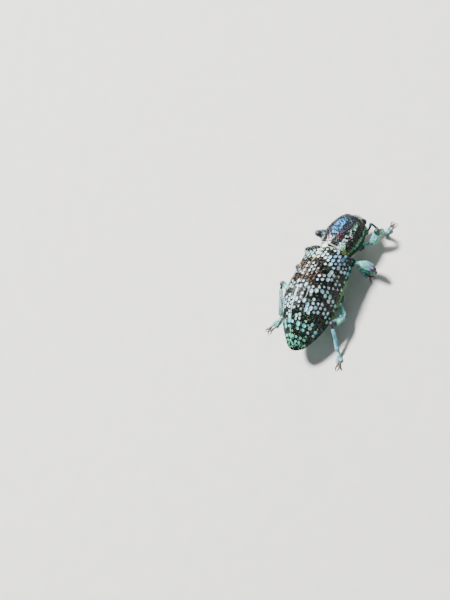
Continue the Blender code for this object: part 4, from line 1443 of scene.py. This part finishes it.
def limb_scales(skin, count, low, high, seed, band, length=0.135, bald=0.2, dark=0.0, fade=0.04):
    """Scales on a limb from low to high, thinned by the share bald, and to 30 per cent over the last part.

    Fade is how long that last part is. Band is their strip of the bake map.
    """
    rng = np.random.default_rng(seed)
    u, v = spread(skin, count, (low, high))
    edge = np.minimum(ramp(u, low, low + 0.04), fall(u, high - fade, high))
    keep = rng.uniform(0, 1, count) < (1 - bald) * (0.3 + 0.7 * edge)
    u, v = u[keep], v[keep]
    root = np.stack([0.01 + 0.98 * v, band[0] + (band[1] - band[0]) * u], -1)
    colour = leg_colours(skin, u, v, seed, dark * ramp(u, 0.5, 0.9))
    return scales(skin, u, v, root, colour, length, seed, loose=0.4)


def limb_hairs(skin, count, low, high, size=(0.03, 0.03, 0.02)):
    """Short pale bristles that lie along the limb."""
    u, v = spread(skin, count, (low, high))
    return stamp(BRISTLE_POINTS, BRISTLE_FACES, stand(skin, u, v), list(size), (0.5, 0.52, 0.46, 0.8))


print("sea green to mint, streaked with:", "frost", FROST, "and blue", blend(AZURE, TEAL, 0.4) * 0.5)

# %% [markdown]
# A weevil's foot shows four segments: two short cones, a broad one split into two lobes with a bristly pad
# under each, and a slender one that rises between the lobes and bears the claws. The pads are flat below,
# because they are what stands on the floor.

# %% Surfaces of a foot
CLAW_REACH = 0.6
UP = (0, 0, 1)


def foot_places(leg):
    """A function that gives the point at a distance along the foot, aside and up; and the foot's length."""
    ankle, tip = np.array([*leg["ankle"][:2], 0.0]), np.array([*leg["claw"], 0.0])
    start = np.array([*leg["heel"], 0.0]) if "heel" in leg else ankle - unit(tip - ankle) * 0.15
    length = float(np.linalg.norm(tip - start))
    along = (tip - start) / length
    across = np.array([-along[1], along[0], 0.0])
    return (lambda d, side=0.0, up=0.0: start + along * d + across * side + np.array([0, 0, up])), length


def foot_path(leg, *stations):
    """Path through stations (share, side, up), where share is of the foot's length before the claws."""
    at, length = foot_places(leg)
    return path_through([at(share * (length - CLAW_REACH), side, up) for share, side, up in stations])


def foot_skins(leg):
    """Surfaces of the foot's segments: two cones, two lobes and the claw segment."""
    at, length = foot_places(leg)
    base = length - CLAW_REACH
    _, knee, ankle, _, _ = leg_points(leg)
    inside_shin = ankle - unit(ankle - knee) * 0.16
    first_path = path_through([inside_shin, (ankle + at(0.12 * base, 0, 0.42)) / 2, at(0.31 * base, 0, 0.25)])
    first = tube(first_path, through([(0, 0.13), (0.5, 0.17), (0.85, 0.25), (1, 0.2)]), UP, 0.8, (0.06, 0.12))
    second = tube(foot_path(leg, (0.24, 0, 0.27), (0.36, 0, 0.26), (0.47, 0, 0.22)),
                  through([(0, 0.12), (0.7, 0.3), (1, 0.24)]), UP, 0.72, (0.1, 0.2))
    lobes = [tube(
        foot_path(leg, (0.42, side * 0.04, 0.26), (0.54, side * 0.2, 0.24), (0.7, side * 0.3, 0.18)),
        through([(0, 0.15), (0.55, 0.235), (1, 0.2)]), UP, 0.68, (0.12, 0.3)) for side in (-1, 1)]
    last = tube(foot_path(leg, (0.47, 0, 0.3), (0.72, 0, 0.42), (1, 0, 0.34)),
                through([(0, 0.09), (0.4, 0.11), (0.9, 0.18), (1, 0.16)]), UP, 0.9, (0.05, 0.08))
    return [first, second, *lobes, last]


print("feet in mm:", {name: round(foot_places(leg)[1], 1) for name, leg in LEGS.items()})

# %% Pads and claws
def above_floor(points):
    """The points, none of them below the floor."""
    return np.maximum(points, [-np.inf, -np.inf, 0.0])


def foot_pads(leg):
    """Soles: a pad under each lobe and one under each cone, flat on the floor."""
    at, length = foot_places(leg)
    base = length - CLAW_REACH
    runs = [(at(0.44 * base, side * 0.12, 0.07), at(0.69 * base, side * 0.29, 0.07), 0.2) for side in (-1, 1)]
    runs += [(at(0.16 * base, 0, 0.14), at(0.29 * base, 0, 0.1), 0.15),
             (at(0.32 * base, 0, 0.1), at(0.45 * base, 0, 0.08), 0.2)]
    pads = []
    for first, last, radius in runs:
        skin = tube(path_through([first, (first + last) / 2, last]), through([(0, radius), (1, radius)]), UP,
                    0.07 / radius, (0.35, 0.35))
        brush = stamp(BRISTLE_POINTS, BRISTLE_FACES, stand(skin, *spread(skin, 130, (0.05, 0.95))),
                      [0.014, 0.016, 0.006], (0, 0, 0, 0))
        brush["points"] = above_floor(brush["points"])
        pads += [rows_of(lambda u, v, skin=skin: above_floor(skin(u, v)), 20, 28), brush]
    return joined(pads)


def thin_tube(points, radii, up, ends, rows, columns):
    """Closed tube through points, its radius following the stations in radii."""
    return rows_of(tube(path_through(points), through(radii), up, 1, ends), rows, columns)


def foot_claws(leg):
    """Two curved claws, and seven spines at the end of the shin."""
    at, length = foot_places(leg)
    base = length - CLAW_REACH
    claws = [thin_tube([at(base - 0.1, 0.07 * side, 0.35), at(base + 0.12, 0.2 * side, 0.4),
                        at(base + 0.36, 0.33 * side, 0.32), at(length, 0.38 * side, 0.05)],
                       [(0, 0.12), (0.35, 0.1), (1, 0.015)], UP, (0.04, 0.02), 26, 16) for side in (-1, 1)]
    _, knee, ankle, _, normal = leg_points(leg)
    shin = unit(ankle - knee)
    inner = unit(np.cross(normal, shin))
    for swing in np.linspace(-1.2, 1.2, 7):
        out = inner * math.cos(swing) + normal * math.sin(swing)
        root = ankle - shin * 0.12 + out * 0.22
        tip = root + shin * 0.2 + out * 0.1
        spine = [root, (root + tip) / 2, tip]
        claws.append(thin_tube(spine, [(0, 0.035), (1, 0.008)], normal, (0.1, 0.05), 8, 8))
    return joined(claws)


print("corners in the soles of one foot:", len(foot_pads(LEGS["mid_left"])["points"]))

# %% Dress one leg
LEG_SHADE = {"fore": 0.25, "mid": 0.6, "hind": 0.1}  # how far the thigh darkens towards the knee


def leg_coat(thigh, shin, knee, coxa, segments, seed, dark, bare_from):
    """Scales of a whole leg, each stretch on its own strip of the bake map."""
    coat = [limb_scales(thigh, 2500, 0.1, 0.93, seed, (0.01, 0.33), dark=dark),
            limb_scales(shin, 1300, 0.13, 0.97, seed + 3, (0.34, 0.64))]
    coat += [limb_scales(skin, 230, 0.08, 0.95, seed + 4 + i, (0.65 + 0.07 * i, 0.71 + 0.07 * i), 0.11)
             for i, skin in enumerate(segments[:4])]
    low, high = bare_from * 0.6, bare_from + 0.24
    coat += [limb_scales(knee, 180, low, high, seed + 8, (0.93, 0.955), 0.12, 0.1, fade=0.25),
             limb_scales(coxa, 300, 0.05, 0.97, seed + 9, (0.965, 0.99), 0.12, 0.5)]
    return joined(coat)


def leg_pieces(name, leg, seed):
    """The seven pieces of a leg, each as arrays, material, slot and the solids that it stands for."""
    pair, side = name.split("_")
    dark, bare_from = LEG_SHADE[pair], leg.get("bare", 0.2)
    tip = SEA * 0.4 if name == "fore_right" else LILAC
    thigh, shin, knee, coxa = thigh_skin(leg), shin_skin(leg), knee_skin(leg), coxa_skin(leg)
    segments = foot_skins(leg)
    thigh_part = joined([rows_of(thigh, 80, 44, limb_tint(thigh, 0.1, 0.93, seed, dark)),
                         rows_of(knee, 34, 34, knee_tint(knee, seed, tip, bare_from)),
                         limb_hairs(thigh, 150, 0.1, 0.95)])
    shin_part = joined([rows_of(shin, 80, 36, limb_tint(shin, 0.12, 0.96, seed + 3)),
                        limb_hairs(shin, 260, 0.15, 0.98)])
    foot_part = joined([rows_of(skin, 30, 30, limb_tint(skin, 0.08, 0.98 if i < 4 else 0.7, seed + 5))
                        for i, skin in enumerate(segments)]
                       + [limb_hairs(skin, 60, 0.1, 0.95, (0.022, 0.022, 0.015)) for skin in segments])
    coat = leg_coat(thigh, shin, knee, coxa, segments, seed, dark, bare_from)
    return {"coxa": (rows_of(coxa, 34, 40), black_shell, "black_shell", [f"{pair}_coxa_{side}"]),
            "thigh": (thigh_part, leg_shell, "green_scales", [f"{pair}_femur_{side}"]),
            "shin": (shin_part, leg_shell, "green_scales", [f"{pair}_tibia_{side}"]),
            "foot": (foot_part, leg_shell, "green_scales", [f"{pair}_tarsus_{side}"]),
            "pads": (foot_pads(leg), foot_pad, "green_scales"),
            "claws": (foot_claws(leg), claw_horn, "black_shell"),
            "scales": (coat, bright_scales, "green_scales")}


print("pieces on one leg:", list(leg_pieces("mid_left", LEGS["mid_left"], 130)))

# %% Build the six legs
for number, (name, leg) in enumerate(LEGS.items()):
    for kind, piece in leg_pieces(name, leg, 100 + number * 10).items():
        make_piece(f"{name}_{kind}", *piece)

# %% [markdown]
# ## Floor, light and camera
#
# A plain pale floor. One soft key light hangs almost overhead, a little to the beetle's left, with a large
# weak fill and a low rim light. The floor's own colour is a middle grey, so that it comes out pale, and not
# white, under a light strong enough for the scales. The camera looks from the right, behind and above, and
# is rolled, so that the beetle climbs up to the right.

# %% Floor
def build_floor(radius=2.5, rings=40, sides=96):
    """Flat disc whose rings crowd towards the middle."""
    r = radius * np.linspace(0.002, 1, rings) ** 3
    angle = np.linspace(0, 2 * math.pi, sides, endpoint=False)
    points = np.stack([r[:, None] * np.cos(angle), r[:, None] * np.sin(angle), np.zeros((rings, sides))], -1)
    index = np.arange(rings * sides).reshape(rings, sides)
    ahead = np.roll(index, -1, axis=1)
    quads = np.stack([index[:-1], index[1:], ahead[1:], ahead[:-1]], -1).reshape(-1, 4)
    mesh = bpy.data.meshes.new("floor")
    mesh.from_pydata(points.reshape(-1, 3).tolist(), [], quads.tolist() + [index[0].tolist()])
    return mesh


floor_material, tree, shader = new_material("floor_paper")
mottle = between(tree, grain(tree, 400.0), 0.0, 1.0)
paper = mixed(tree, mottle, (0.38, 0.377, 0.37, 1), (0.405, 0.402, 0.394, 1))
tree.links.new(paper, shader.inputs["Base Color"])
shader.inputs["Roughness"].default_value = 0.9
floor_mesh = build_floor()
floor_mesh.materials.append(floor_material)
floor = bpy.data.objects.new("floor", floor_mesh)
bpy.context.scene.collection.objects.link(floor)
print("floor:", len(floor_mesh.polygons), "faces")

# %% Lights
LOOK_AT = Vector(in_room((0.0, 5.0, 5.1)))


def area_light(name, direction, distance, size, power, colour=(1, 1, 1)):
    """Square light of a size and power, at a distance from the beetle's middle, and turned to face it."""
    data = bpy.data.lights.new(name, "AREA")
    data.size, data.energy, data.color = size, power, colour
    light = bpy.data.objects.new(name, data)
    direction = Vector(direction).normalized()
    light.location = LOOK_AT + direction * distance
    light.rotation_euler = direction.to_track_quat("Z", "Y").to_euler()
    bpy.context.scene.collection.objects.link(light)


area_light("key", (0.34, -0.10, 0.94), 0.45, 0.1, 12.0, (1.0, 0.985, 0.96))
area_light("fill", (-0.7, 0.5, 0.6), 0.6, 0.4, 0.7, (0.93, 0.97, 1.0))
area_light("rim", (0.2, -1.0, 0.35), 0.5, 0.25, 1.5, (1.0, 0.98, 0.95))
world = bpy.data.worlds.new("studio")
world.use_nodes = True
world.node_tree.nodes["Background"].inputs["Color"].default_value = (0.86, 0.9, 0.95, 1)
world.node_tree.nodes["Background"].inputs["Strength"].default_value = 0.38
bpy.context.scene.world = world
print("lights in watts:", {light.name: round(light.energy, 1) for light in bpy.data.lights})

# %% Camera
AZIMUTH, ELEVATION, ROLL = (math.radians(angle) for angle in (242.4, 46.9, 44.8))
LENS, DISTANCE = 139.8, 0.3
BESIDE, ABOVE = 0.0383, 0.0073


def camera_turn():
    """Way to the camera, and its turn: axes from azimuth, elevation and roll, swung off the middle."""
    flat = math.cos(ELEVATION)
    back = Vector((math.sin(AZIMUTH) * flat, -math.cos(AZIMUTH) * flat, math.sin(ELEVATION)))
    right = Vector((0, 0, 1)).cross(back).normalized()
    up = back.cross(right)
    rolled_right = right * math.cos(ROLL) - up * math.sin(ROLL)
    rolled_up = right * math.sin(ROLL) + up * math.cos(ROLL)
    axes = Matrix((rolled_right, rolled_up, back)).transposed().to_quaternion()
    swing = Vector((0, 0, -1)).rotation_difference(Vector((BESIDE, ABOVE, -1)).normalized())
    return back, axes @ swing.inverted()


camera = bpy.data.objects.new("camera", bpy.data.cameras.new("camera"))
camera.data.lens, camera.data.sensor_width = LENS, 36.0
camera.data.clip_start, camera.data.clip_end = 0.01, 20.0
back, camera_quaternion = camera_turn()
camera.rotation_mode = "QUATERNION"
camera.location, camera.rotation_quaternion = LOOK_AT + back * DISTANCE, camera_quaternion
bpy.context.scene.collection.objects.link(camera)
bpy.context.scene.camera = camera
print("camera at", [round(c, 3) for c in camera.location], "m")
